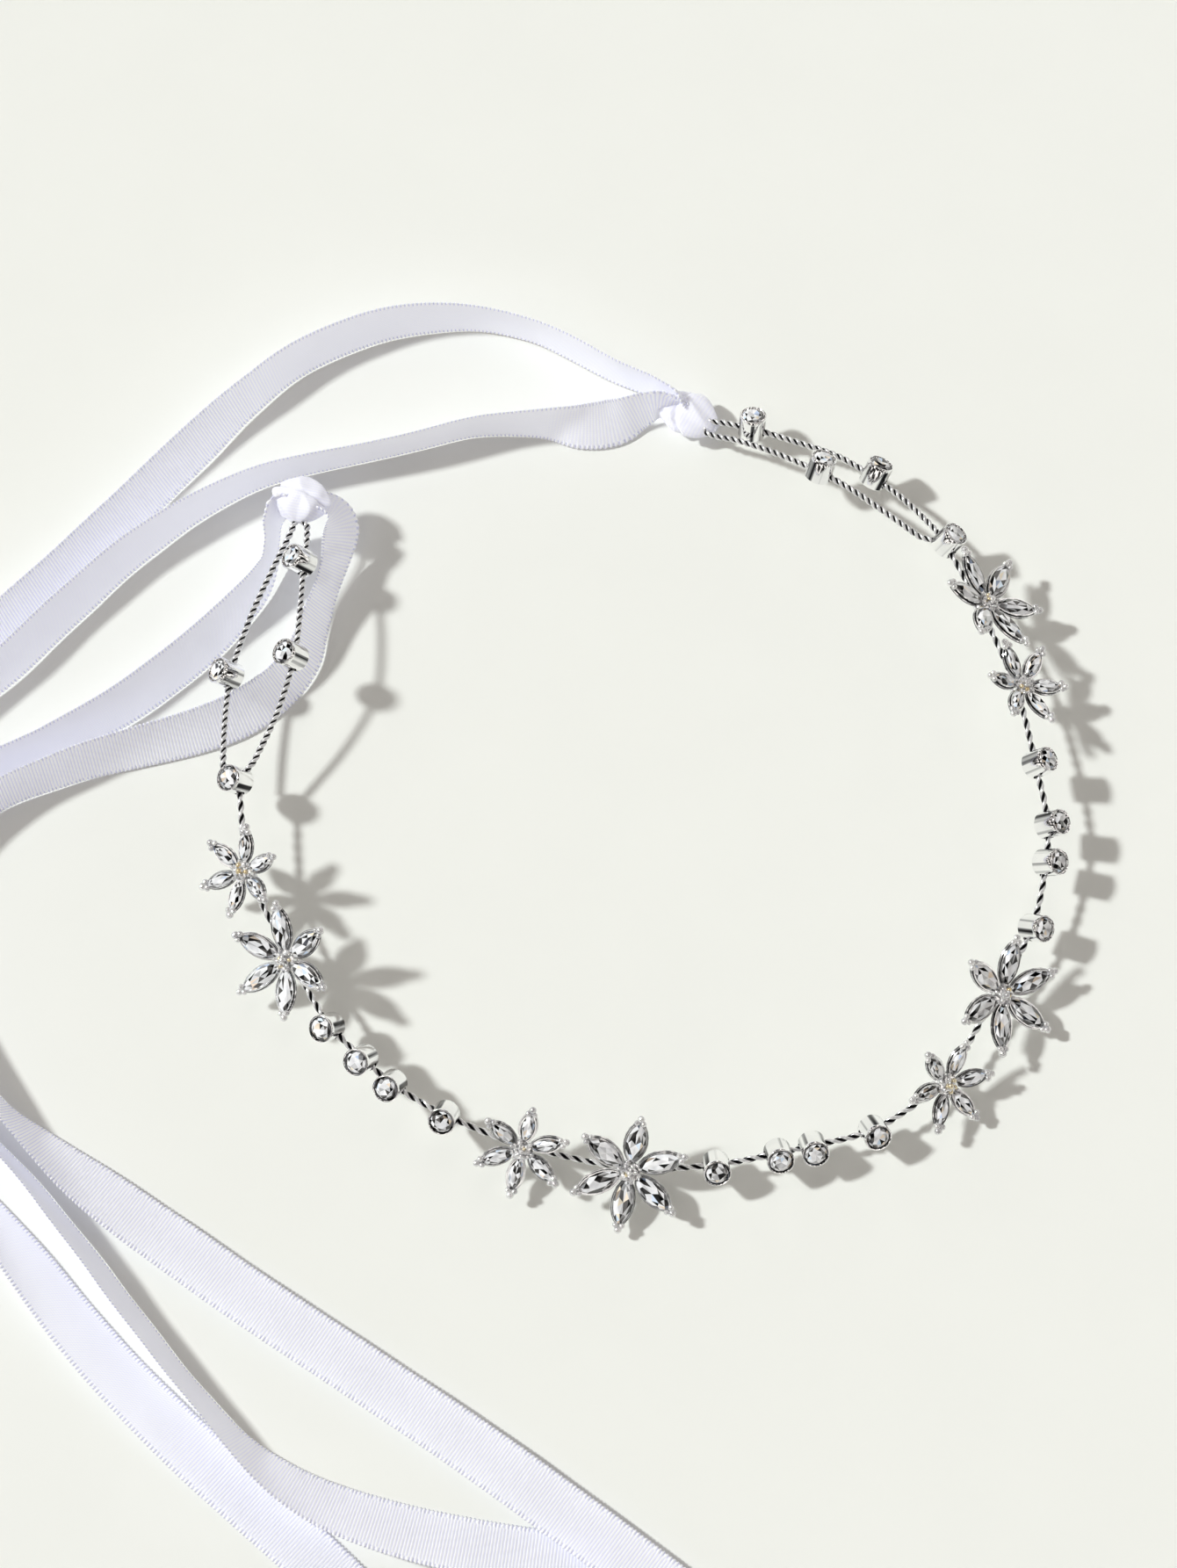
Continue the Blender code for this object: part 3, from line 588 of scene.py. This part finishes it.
def nodeFaces(name):
    # (area, normal, middle) of each triangle of a CAD node
    mesh = frame["nodes"][name].data
    mesh.calc_loop_triangles()
    for tri in mesh.loop_triangles:
        a, b, c = (mesh.vertices[i].co for i in tri.vertices)
        cross = (b - a).cross(c - a)
        if cross.length > 1e-12:
            yield cross.length / 2, cross.normalized(), (a + b + c) / 3


def flatBack(name):
    # the node's largest flat: its outward normal and its middle
    flats = []
    for area, normal, middle in nodeFaces(name):
        for flat in flats:
            if flat[1].dot(normal) > 0.9999:
                flat[0] += area
                flat[2] += middle * area
                break
        else:
            flats.append([area, normal, middle * area])
    area, normal, weighted = max(flats, key=lambda flat: flat[0])
    return normal, weighted / area


band = dict(order=("left_junction", "left_4", "left_3", "left_side_4", "left_side_3", "left_side_2",
                   "left_side_1", "left_2", "left_1", "left_front_2", "left_front_1", "right_front_1",
                   "right_front_2", "right_1", "right_2", "right_side_1", "right_side_2", "right_side_3",
                   "right_side_4", "right_3", "right_4", "right_junction"),
            step=4.2 * mm, cupBack=1.5 * mm)
hinges = {joint["child"]: joint for joint in frame["joints"]}


def stationPlace(name):
    flower = hinges.get("flower_" + name)
    if flower:
        return Vector(flower["pos_m"])
    normal, middle = flatBack("cup_" + name)
    return middle - normal * band["cupBack"]


places = {name: stationPlace(name) for name in band["order"]}
bandPath = smoothPath(list(places.values()), band["step"])
bandIndex = {name: bandPath.index(place) for name, place in places.items()}


def runAt(path, i):
    return path[min(i + 1, len(path) - 1)] - path[max(i - 1, 0)]


def bodyOf(node):
    return next(body for body, nodes in frame["record"]["behaviour"]["bodies"].items() if node in nodes)


print("crown: places read")


def newTree(name, inputs):
    tree = bpy.data.node_groups.new(name, "GeometryNodeTree")
    tree.interface.new_socket("Geometry", in_out="INPUT", socket_type="NodeSocketGeometry")
    for label, kind in inputs:
        tree.interface.new_socket(label, in_out="INPUT", socket_type=kind)
    tree.interface.new_socket("Geometry", in_out="OUTPUT", socket_type="NodeSocketGeometry")
    return tree, tree.nodes.new("NodeGroupInput"), tree.nodes.new("NodeGroupOutput")


def treeNode(tree, kind, inputs=(), **settings):
    node = tree.nodes.new(kind)
    for name, value in settings.items():
        setattr(node, name, value)
    for key, value in dict(inputs).items():
        if isinstance(value, bpy.types.NodeSocket):
            tree.links.new(value, node.inputs[key])
        else:
            node.inputs[key].default_value = value
    return node


def finishTree(tree, geometry, material, out, depth=1.0):
    real = treeNode(tree, "GeometryNodeRealizeInstances", {"Geometry": geometry})
    smooth = treeNode(tree, "GeometryNodeSetShadeSmooth", {"Geometry": real.outputs[0]})
    shade = treeNode(tree, "GeometryNodeStoreNamedAttribute",
                     {"Geometry": smooth.outputs[0], "Name": "shade", "Value": depth}, data_type="FLOAT")
    painted = treeNode(tree, "GeometryNodeSetMaterial",
                       {"Geometry": shade.outputs[0], "Material": material})
    tree.links.new(painted.outputs[0], out.inputs[0])


def twistTree():
    # two strands laid round a path
    tree, start, out = newTree("twistedWire", (("Strand", "NodeSocketFloat"), ("Lay", "NodeSocketFloat"),
                                               ("Pitch", "NodeSocketFloat"), ("Step", "NodeSocketFloat"),
                                               ("Material", "NodeSocketMaterial")))
    curve = treeNode(tree, "GeometryNodeMeshToCurve", {"Mesh": start.outputs["Geometry"]})
    fine = treeNode(tree, "GeometryNodeResampleCurve",
                    {"Curve": curve.outputs[0], "Length": start.outputs["Step"]}, mode="LENGTH")
    section = treeNode(tree, "GeometryNodeCurvePrimitiveCircle",
                       {"Resolution": 8, "Radius": start.outputs["Strand"]})
    length = treeNode(tree, "GeometryNodeSplineParameter").outputs["Length"]
    normal = treeNode(tree, "GeometryNodeInputNormal").outputs[0]
    tangent = treeNode(tree, "GeometryNodeInputTangent").outputs[0]
    side = treeNode(tree, "ShaderNodeVectorMath", {0: tangent, 1: normal},
                    operation="CROSS_PRODUCT").outputs[0]
    turns = treeNode(tree, "ShaderNodeMath", {0: length, 1: start.outputs["Pitch"]},
                     operation="DIVIDE").outputs[0]
    place = treeNode(tree, "GeometryNodeInputPosition").outputs[0]
    fine = treeNode(tree, "GeometryNodeStoreNamedAttribute",
                    {"Geometry": fine.outputs[0], "Name": "centre", "Value": place}, data_type="FLOAT_VECTOR")
    both = treeNode(tree, "GeometryNodeJoinGeometry")
    for phase in (0, math.pi):
        angle = treeNode(tree, "ShaderNodeMath", {0: turns, 1: 2 * math.pi, 2: phase},
                         operation="MULTIPLY_ADD").outputs[0]
        offsets = []
        for wave, direction in (("COSINE", normal), ("SINE", side)):
            part = treeNode(tree, "ShaderNodeMath", {0: angle}, operation=wave).outputs[0]
            part = treeNode(tree, "ShaderNodeMath", {0: part, 1: start.outputs["Lay"]}, operation="MULTIPLY")
            offsets.append(treeNode(tree, "ShaderNodeVectorMath", {0: direction, "Scale": part.outputs[0]},
                                    operation="SCALE").outputs[0])
        offset = treeNode(tree, "ShaderNodeVectorMath", dict(enumerate(offsets)), operation="ADD").outputs[0]
        strand = treeNode(tree, "GeometryNodeSetPosition", {"Geometry": fine.outputs[0], "Offset": offset})
        tube = treeNode(tree, "GeometryNodeCurveToMesh", {"Curve": strand.outputs[0],
                        "Profile Curve": section.outputs[0], "Fill Caps": True})
        tree.links.new(tube.outputs[0], both.inputs[0])
    # how far each spot stands from the wire's centre, as a share of the whole: the groove between the strands gets
    # painted shade
    centre = treeNode(tree, "GeometryNodeInputNamedAttribute", {"Name": "centre"}, data_type="FLOAT_VECTOR")
    away = treeNode(tree, "ShaderNodeVectorMath", {0: place, 1: centre.outputs[0]}, operation="DISTANCE")
    reach = treeNode(tree, "ShaderNodeMath", {0: start.outputs["Strand"], 1: start.outputs["Lay"]})
    depth = treeNode(tree, "ShaderNodeMath", {0: away.outputs["Value"], 1: reach.outputs[0]},
                     operation="DIVIDE")
    finishTree(tree, both.outputs[0], start.outputs["Material"], out, depth.outputs[0])
    return tree


def beadTree():
    # a ball on every point, as large as the point's own radius
    tree, start, out = newTree("beads", (("Material", "NodeSocketMaterial"),))
    ball = treeNode(tree, "GeometryNodeMeshIcoSphere", {"Radius": 1.0, "Subdivisions": 2})
    radius = treeNode(tree, "GeometryNodeInputNamedAttribute", {"Name": "beadRadius"}, data_type="FLOAT")
    placed = treeNode(tree, "GeometryNodeInstanceOnPoints", {"Points": start.outputs["Geometry"],
                      "Instance": ball.outputs[0], "Scale": radius.outputs[0]})
    finishTree(tree, placed.outputs[0], start.outputs["Material"], out)
    return tree


def grown(name, source, tree, values):
    # the tree's result on the source object, as a plain mesh of its own
    modifier = source.modifiers.new("grow", "NODES")
    modifier.node_group = tree
    for item in tree.interface.items_tree:
        if item.in_out == "INPUT" and item.name in values:
            modifier[item.identifier] = values[item.name]
    mesh = evaluatedMesh(source)
    bpy.data.objects.remove(source, do_unlink=True)
    mesh.name = name
    return linked(name, mesh)


def pathObject(path):
    mesh = bpy.data.meshes.new("path")
    mesh.from_pydata([tuple(p) for p in path], [(i, i + 1) for i in range(len(path) - 1)], [])
    return linked("path", mesh)


def beadObject(name, beads, material):
    # beads are (place, radius)
    mesh = bpy.data.meshes.new(name)
    mesh.from_pydata([tuple(place) for place, _ in beads], [], [])
    pointValues(mesh, "beadRadius", [radius for _, radius in beads])
    return grown(name, linked(name + "_points", mesh), trees["beads"], dict(Material=material))


trees = dict(twist=twistTree(), beads=beadTree())
print("crown: node trees built")


wire = dict(strand=0.35 * mm, lay=0.33 * mm, pitch=5.0 * mm, loopPitch=3.0 * mm, step=0.26 * mm,
            loopStep=3.2 * mm, split=0.25 * mm)

# each end loop's own points: angle and distance outside the ring, and height
loops = {
    "left": ((-113.4, 5.3, 10.3), (-119.3, 6.0, 10.6), (-126.2, 7.0, 11.0), (-134.3, 7.4, 11.8),
             (-142.4, 8.2, 12.6), (-147.1, 9.3, 13.0), (-149.4, 10.4, 12.8), (-149.1, 7.6, 13.0),
             (-144.4, 3.4, 14.0), (-137.9, -1.2, 15.0), (-130.6, -4.1, 15.0), (-121.5, -3.7, 12.8),
             (-114.4, -0.5, 10.6)),
    "right": ((111.9, 0.6, 8.4), (118.2, 1.2, 7.8), (124.1, 1.7, 6.8), (129.7, 2.0, 6.5),
              (137.1, 1.1, 6.5), (143.4, 1.1, 6.2), (147.4, 1.3, 5.5), (150.6, 1.4, 4.8),
              (149.9, -1.1, 4.8), (145.9, -2.0, 6.3), (140.3, -2.9, 7.8), (131.3, -3.6, 9.0),
              (125.6, -3.7, 9.2), (117.7, -3.5, 8.9), (112.8, -2.7, 8.5)),
}
# which of those points each cup of the loop sits on
loopCups = {"left": dict(loop_outer=2, loop_tip=8, loop_inner=10),
            "right": dict(loop_outer=2, loop_tip=5, loop_inner=11)}
loopPaths = {}


def twisted(name, path, pitch, body, *nodes):
    values = dict(Strand=wire["strand"], Lay=wire["lay"], Pitch=pitch, Step=wire["step"],
                  Material=wireSilver)
    obj = grown(name, pathObject(path), trees["twist"], values)
    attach(obj, body)
    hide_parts(*nodes)


def shortened(path, start, end):
    path = list(path)
    path[0] = path[0] + (path[1] - path[0]).normalized() * start
    path[-1] = path[-1] + (path[-2] - path[-1]).normalized() * end
    return path


first, last, gap = bandIndex["left_2"], bandIndex["right_2"], wire["split"]
for part, body, run in (("left", "left_arm", shortened(bandPath[:first + 1], 0, gap)),
                        ("front", "front_band", shortened(bandPath[first:last + 1], gap, gap)),
                        ("right", "right_arm", shortened(bandPath[last:], gap, 0))):
    twisted(f"wire_{part}", run, wire["pitch"], body, f"band_wire_{part}")
for side, points in loops.items():
    corners = [ringPoint(*point) for point in points]
    loopPaths[side] = smoothPath(corners, wire["loopStep"])
    junction = places[f"{side}_junction"]
    whole = [junction, *loopPaths[side], junction]  # both ends run into the junction cup
    twisted(f"loop_{side}", whole, wire["loopPitch"], f"{side}_arm", f"loop_wire_{side}")
    for spot, index in loopCups[side].items():
        places[f"{side}_{spot}"] = corners[index]
print("crown: wires twisted")


cup = dict(radius=2.6 * mm, bottom=-1.5 * mm, rim=3.5 * mm, wall=0.28 * mm, seat=2.05 * mm, bore=0.95 * mm,
           foot=((0.32, 0.0), (0.10, 0.08), (0.0, 0.28)), soft=0.08 * mm, dish=0.6 * mm, segments=40,
           reflectionStreakWaves=(3, 5, 9), sharp=38)
stone = dict(radius=2.12 * mm, table=3.9 * mm, girdle=3.2 * mm, culet=1.9 * mm, tableShare=0.56, sides=8)


def cupMaster():
    r, wall = cup["radius"], cup["wall"]
    low, rim, seat, soft = cup["bottom"], cup["rim"], cup["seat"], cup["soft"]
    profile = [(0, low), *((r - x * mm, low + z * mm) for x, z in cup["foot"]),
               (r, rim - 0.9 * mm), (r, rim - soft), (r - 0.4 * soft, rim - 0.3 * soft), (r - soft, rim),
               (r - wall + soft, rim), (r - wall, rim - soft), (r - wall, seat),
               (r * 0.4, seat - cup["dish"]), (0, seat - cup["dish"])]
    verts, faces = turned(profile, cup["segments"])
    body = meshObject("cupMaster", verts, faces)
    drill = meshObject("drill", *turned([(0, -4 * mm), (cup["bore"], -4 * mm), (cup["bore"], 4 * mm),
                                         (0, 4 * mm)], 16))
    drill.data.transform(Matrix.Rotation(math.pi / 2, 4, "Y"))
    cut = body.modifiers.new("bore", "BOOLEAN")
    cut.operation = "DIFFERENCE"
    cut.object = drill
    mesh = evaluatedMesh(body)
    for helper in (body, drill):
        bpy.data.objects.remove(helper, do_unlink=True)
    return mesh


def paintedFacetLight(rng, kind):
    # painted reflection: the light one facet sends back is painted as a fixed tone, with now and then a painted
    # cold or warm flash
    tones = {"table": (1.0, 1.0, 0.95, 0.62, 0.02), "star": (1.0, 1.0, 0.86, 0.03, 0.0),
             "main": (1.0, 1.0, 0.98, 0.35, 0.0, 0.0), "girdle": (1.0, 0.85, 0.20, 0.01)}
    tone = rng.choice(tones[kind]) * rng.uniform(0.92, 1.0)
    flash = rng.random()
    if flash < 0.05:
        return tone * 0.75, tone * 0.88, min(1.0, tone * 1.15)
    if flash < 0.09:
        return min(1.0, tone * 1.12), tone * 0.92, tone * 0.74
    return tone, tone, min(1.0, tone * 1.02)


def facetedStone(shape, outline, levels, place, rng):
    # outline(share, turn) gives a point of the stone's plan; levels are girdle, table and culet heights
    sides = stone["sides"]
    girdle, table, culet = levels
    step = 2 * math.pi / sides
    verts, faces, shades = [], [], []

    def ringOf(share, height, shift):
        start = len(verts)
        for i in range(sides):
            x, y = outline(share, (i + shift) * step)
            verts.append((x, y, height))
        return start

    lower = ringOf(1.0, girdle, 0)
    mid = ringOf(0.97, girdle + 0.1 * (table - girdle), 0.5)
    star = ringOf(0.80, girdle + 0.62 * (table - girdle), 0)
    top = ringOf(stone["tableShare"], table, 0.5)
    centre = len(verts)
    verts.append((0, 0, table - 0.22 * (table - girdle)))
    point = len(verts)
    verts.append((0, 0, culet))
    for i in range(sides):
        j = (i + 1) % sides
        k = (i - 1) % sides
        for face, kind in (((lower + i, mid + i, star + i), "girdle"),
                           ((mid + i, lower + j, star + j), "girdle"),
                           ((mid + i, star + j, star + i), "main"), ((star + i, star + j, top + i), "main"),
                           ((star + i, top + i, top + k), "star"), ((top + i, centre, top + k), "table"),
                           ((lower + i, point, lower + j), "main"),
                           ((lower + i, lower + j, mid + i), "girdle")):
            faces.append(face)
            shades.append(paintedFacetLight(rng, kind))
    shape.add(verts, faces, place, shades)


def roundPlan(share, turn):
    return stone["radius"] * share * math.cos(turn), stone["radius"] * share * math.sin(turn)


def paintedReflectionStreaks(mesh, rng):
    # painted reflection: dark streaks down the wall stand in for the dark surroundings mirrored in the plate; the
    # rim and the inside stay bright
    phases = [rng.uniform(0, 2 * math.pi) for _ in range(3)]
    shades = []
    for vertex in mesh.vertices:
        turn = math.atan2(vertex.co.y, vertex.co.x)
        wave = sum(math.sin(n * turn + phase) for n, phase in zip(cup["reflectionStreakWaves"], phases)) / 3
        wall = vertex.co.z < cup["rim"] - 0.5 * cup["wall"] and vertex.co.xy.length > cup["radius"] * 0.97
        shades.append(0.60 + 0.75 * wave if wall else 0.9)
    pointValues(mesh, "shade", shades)


cupMesh = cupMaster()
rng = random.Random(11)
for name in [n[4:] for n in frame["nodes"] if n.startswith("cup_")]:
    normal, _ = flatBack("cup_" + name)
    path = bandPath if name in bandIndex else loopPaths[name.split("_")[0]]
    nearest = min(range(len(path)), key=lambda i: (path[i] - places[name]).length)
    matrix = faceFrame(places[name], runAt(path, nearest), -normal)
    holder = linked("setting_" + name, cupMesh.copy())
    paintedReflectionStreaks(holder.data, rng)
    holder.data.transform(matrix)
    holder.data.materials.clear()
    holder.data.materials.append(cupSilver)
    smoothUpTo(holder, cup["sharp"])
    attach(holder, bodyOf("cup_" + name))
    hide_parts("cup_" + name)
    gem = Shape()
    spin = Matrix.Rotation(rng.uniform(0, 1), 4, "Z")
    facetedStone(gem, roundPlan, (stone["girdle"], stone["table"], stone["culet"]), matrix @ spin, rng)
    brilliant = gem.build("brilliant_" + name, crystal, "facet")
    fixNormals(brilliant)
    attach(brilliant, bodyOf("cup_" + name))
    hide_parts("stone_" + name)
print("crown: cups and round stones set")


flowers = {
    "left_1": dict(reach=11.0, lean=60, turn=22), "left_2": dict(reach=8.7, lean=57, turn=33),
    "left_3": dict(reach=10.8, lean=57, turn=31), "left_4": dict(reach=8.4, lean=58, turn=29),
    "right_1": dict(reach=8.7, lean=51, turn=30), "right_2": dict(reach=11.0, lean=55, turn=26),
    "right_3": dict(reach=8.7, lean=60, turn=17), "right_4": dict(reach=11.0, lean=52, turn=9),
}
petal = dict(root=1.8 * mm, claw=0.8 * mm, cup=math.radians(12), plane=2.4 * mm, widthShare=0.215,
             points=20, crown=0.95 * mm, girdle=0.22 * mm, culet=-0.35 * mm, sharp=40,
             # the rims' last number is a tone: the lower rim's lower tone is painted shade
             rims=((0.10, 0.22, 0.15, 1.0), (0.34, -0.26, 0.17, 0.8)),  # outset, height, radius, tone
             plate=(-0.55, -0.12), paintedPlateShade=0.05)
# balls in mm: x from the petal's tip or root, y, z and radius
claw = dict(tip=((-0.65, 0.60, 0.35, 0.62), (-0.65, -0.60, 0.35, 0.62), (0.20, 0.0, 0.20, 0.76)),
            root=(0.25, 0.70, 0.60, 0.42))
# the cluster in the middle: how many beads, how far out, how high and how large, in mm
cluster = dict(rings=((6, 1.25, 0.75, 0.46), (1, 0.0, 1.25, 0.62), (5, 0.72, 1.15, 0.34)), goldShare=0.22)
boss = dict(outer=1.30 * mm, inner=0.97 * mm, half=1.5 * mm, sides=16,
            hub=((0, 1.5), (1.9, 1.5), (2.15, 1.75), (2.1, 2.7), (1.3, 3.1), (0, 3.1)), hubSides=20)


def navette(length, width):
    # the plan of a navette: two arcs that meet in points, swelling in the middle
    def plan(share, turn):
        x = math.cos(turn)
        y = math.copysign(abs(math.sin(turn)) ** 1.35, math.sin(turn))
        return length / 2 * share * x, width / 2 * share * y
    return plan


def petalFrame(matrix, angle):
    # X along the petal from its root, raised by the cup of the flower
    turn = Matrix.Rotation(angle, 4, "Z")
    move = Matrix.Translation((petal["root"], 0, petal["plane"]))
    return matrix @ turn @ move @ Matrix.Rotation(-petal["cup"], 4, "Y")


def bossTube():
    verts, faces = [], []
    outer, inner, half, sides = boss["outer"], boss["inner"], boss["half"], boss["sides"]
    for radius, z in ((inner, -half), (outer, -half), (outer, half), (inner, half)):
        for i in range(sides):
            turn = 2 * math.pi * i / sides
            verts.append((radius * math.cos(turn), radius * math.sin(turn), z))
    for corner in range(4):
        a, b = corner * sides, (corner + 1) % 4 * sides
        faces += [(a + i, a + (i + 1) % sides, b + (i + 1) % sides, b + i) for i in range(sides)]
    return verts, faces


def petalSeat(setting, middle, length, width):
    # two wire rims round the stone, the lower one painted a little darker (painted shade), and a plate under it
    # painted dark only on the stone's side (painted shade round the stone)
    n = petal["points"]
    turns = [2 * math.pi * i / n for i in range(n)]
    for outset, height, radius, tone in petal["rims"]:
        wide = navette(length + 2 * outset * mm, width + 2.2 * outset * mm)
        loop = [Vector((*wide(1.0, turn), height * mm)) for turn in turns]
        verts, faces = closedTube(loop, radius * mm, 6)
        setting.add(verts, faces, middle, [(tone, tone, tone)] * len(faces))
    base = navette(length + 0.9 * mm, width + 0.9 * mm)
    verts = [(*base(1.0, turn), z * mm) for z in petal["plate"] for turn in turns]
    faces = [tuple(reversed(range(n))), tuple(range(n, 2 * n))]
    faces += [(i, (i + 1) % n, n + (i + 1) % n, n + i) for i in range(n)]
    setting.add(verts, faces, middle, [(1, 1, 1)] + [(petal["paintedPlateShade"],) * 3] * (n + 1))


def makeFlower(name, look, rng):
    joint = hinges["flower_" + name]
    matrix = leanFrame(Vector(joint["pos_m"]), Vector(joint["axis"]), look["lean"])
    neck = look["reach"] * mm - petal["claw"] - petal["root"]
    tip = neck + petal["claw"]
    length, width = neck - 0.1 * mm, 2 * petal["widthShare"] * neck
    balls = [(tip + x * mm, y * mm, z * mm, size) for x, y, z, size in claw["tip"]]
    balls.append((*metres(claw["root"][:3]), claw["root"][3]))
    setting, stones = Shape(), Shape()
    claws, heart, flecks = [], [], []
    for k in range(6):
        place = petalFrame(matrix, math.radians(look["turn"]) + k * math.pi / 3)
        place = place @ Matrix.Rotation(rng.uniform(-0.03, 0.03), 4, "Z")
        place = place @ Matrix.Rotation(rng.uniform(-0.05, 0.05), 4, "X")
        middle = place @ Matrix.Translation((length / 2 + 0.05 * mm, 0, 0))
        levels = (petal["girdle"], petal["crown"], petal["culet"])
        facetedStone(stones, navette(length, width), levels, middle, rng)
        petalSeat(setting, middle, length, width)
        for x, y, z, size in balls:
            claws.append((place @ Vector((x, y, z)), size * mm * rng.uniform(0.88, 1.1)))
    for count, radius, height, size in cluster["rings"]:
        for i in range(count):
            turn = 2 * math.pi * (i + rng.uniform(-0.12, 0.12)) / count
            spot = Vector((radius * math.cos(turn), radius * math.sin(turn), petal["plane"] / mm + height))
            bead = (matrix @ (spot * mm), size * mm * rng.uniform(0.85, 1.12))
            (flecks if rng.random() < cluster["goldShare"] else heart).append(bead)
    setting.add(*turned([(x * mm, z * mm) for x, z in boss["hub"]], boss["hubSides"]), matrix)
    setting.add(*bossTube(), matrix @ Matrix.Rotation(math.pi / 2, 4, "Y"))  # the wire runs through it
    body = "flower_" + name
    rosette = setting.build(f"rosette_{name}", castSilver, "shade")
    fixNormals(rosette)
    smoothUpTo(rosette, petal["sharp"])
    petals = stones.build(f"petals_{name}", crystal, "facet")
    fixNormals(petals)
    pieces = [(rosette, "silver_flower"), (petals, "crystal"),
              (beadObject(f"claws_{name}", claws, castSilver), "silver_flower"),
              (beadObject(f"heart_{name}", heart, castSilver), "silver_flower")]
    if flecks:
        pieces.append((beadObject(f"flecks_{name}", flecks, paleGold), "silver_flower"))
    for piece, slotName in pieces:
        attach(piece, body)
    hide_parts(body)


rng = random.Random(5)
for name, look in flowers.items():
    makeFlower(name, look, rng)
print("crown: flowers set")


knot = dict(high=3.0 * mm, reach=0.9 * mm, lift=0.4 * mm, segments=96, rings=60, folds=5, crease=0.75,
            left=dict(length=9.4 * mm, across=6.0 * mm, twist=1.1),
            right=dict(length=12.8 * mm, across=5.0 * mm, twist=-1.4))


def creased(turn, folds):
    # the radius of a soft-cornered polygon, so the wrap reads as folds and not as a ball
    sector = 2 * math.pi / folds
    within = (turn % sector) - sector / 2
    return 1 - knot["crease"] * (1 - math.cos(sector / 2) / math.cos(within))


def makeKnot(side):
    # a doubled ribbon drawn tight round the eye: a folded wrap with pleats, narrow where the wire enters
    low, high = (Vector(c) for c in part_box(f"ribbon_knot_{side}"))
    centre = (low + high) / 2 + up * knot["lift"]
    eye = min(loopPaths[side], key=lambda p: (p - centre).length)
    along = (centre - eye).to_2d().normalized().to_3d()
    across = up.cross(along)
    matrix = Matrix((along, across, up)).transposed().to_4x4()
    matrix.translation = centre + along * knot["reach"]
    own = knot[side]
    rng = random.Random(len(side))
    phases = [rng.uniform(0, 6.28) for _ in range(4)]
    verts, faces = [], []
    for i in range(knot["rings"] + 1):
        t = i / knot["rings"]
        x = (t - 0.5) * own["length"]
        swell = math.sin(math.pi * min(max(t, 0.02), 0.98)) ** 0.5
        for k in range(knot["segments"]):
            turn = 2 * math.pi * k / knot["segments"]
            fold = creased(turn + phases[0] + own["twist"] * t, knot["folds"])
            pleat = 0.04 * math.sin(7 * turn + phases[1] - 4.1 * t)
            pleat += 0.03 * math.sin(8 * t + phases[2] + 2 * turn)
            bar = 0.55 + 0.16 * math.sin(turn + phases[3])  # where the doubled ribbon crosses over itself
            waist = 1 - 0.20 * math.exp(-((t - bar) / 0.045) ** 2)
            size = swell * waist * fold * (1 + pleat)
            flat = 0.86 + 0.14 * abs(math.cos(turn))
            verts.append(matrix @ Vector((x, own["across"] * size * math.cos(turn),
                                          knot["high"] * size * flat * math.sin(turn))))
    n = knot["segments"]
    for i in range(knot["rings"]):
        for k in range(n):
            m = (k + 1) % n
            faces.append((i * n + k, i * n + m, (i + 1) * n + m, (i + 1) * n + k))
    faces.append(tuple(reversed(range(n))))
    faces.append(tuple(range(knot["rings"] * n, (knot["rings"] + 1) * n)))
    obj = meshObject(f"knot_{side}", verts, faces, satin, smooth=True)
    fixNormals(obj)
    ribbonUv(obj.data, [((i % n) * 0.45 * mm, (i // n) / knot["rings"] * 7.5 * mm - 3.75 * mm)
                        for i in range(len(verts))])
    pointValues(obj.data, "ribbed", [0.0] * len(verts))
    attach(obj, f"{side}_arm")
    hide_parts(f"ribbon_knot_{side}")


for side in ("left", "right"):
    makeKnot(side)
print("crown: knots tied")
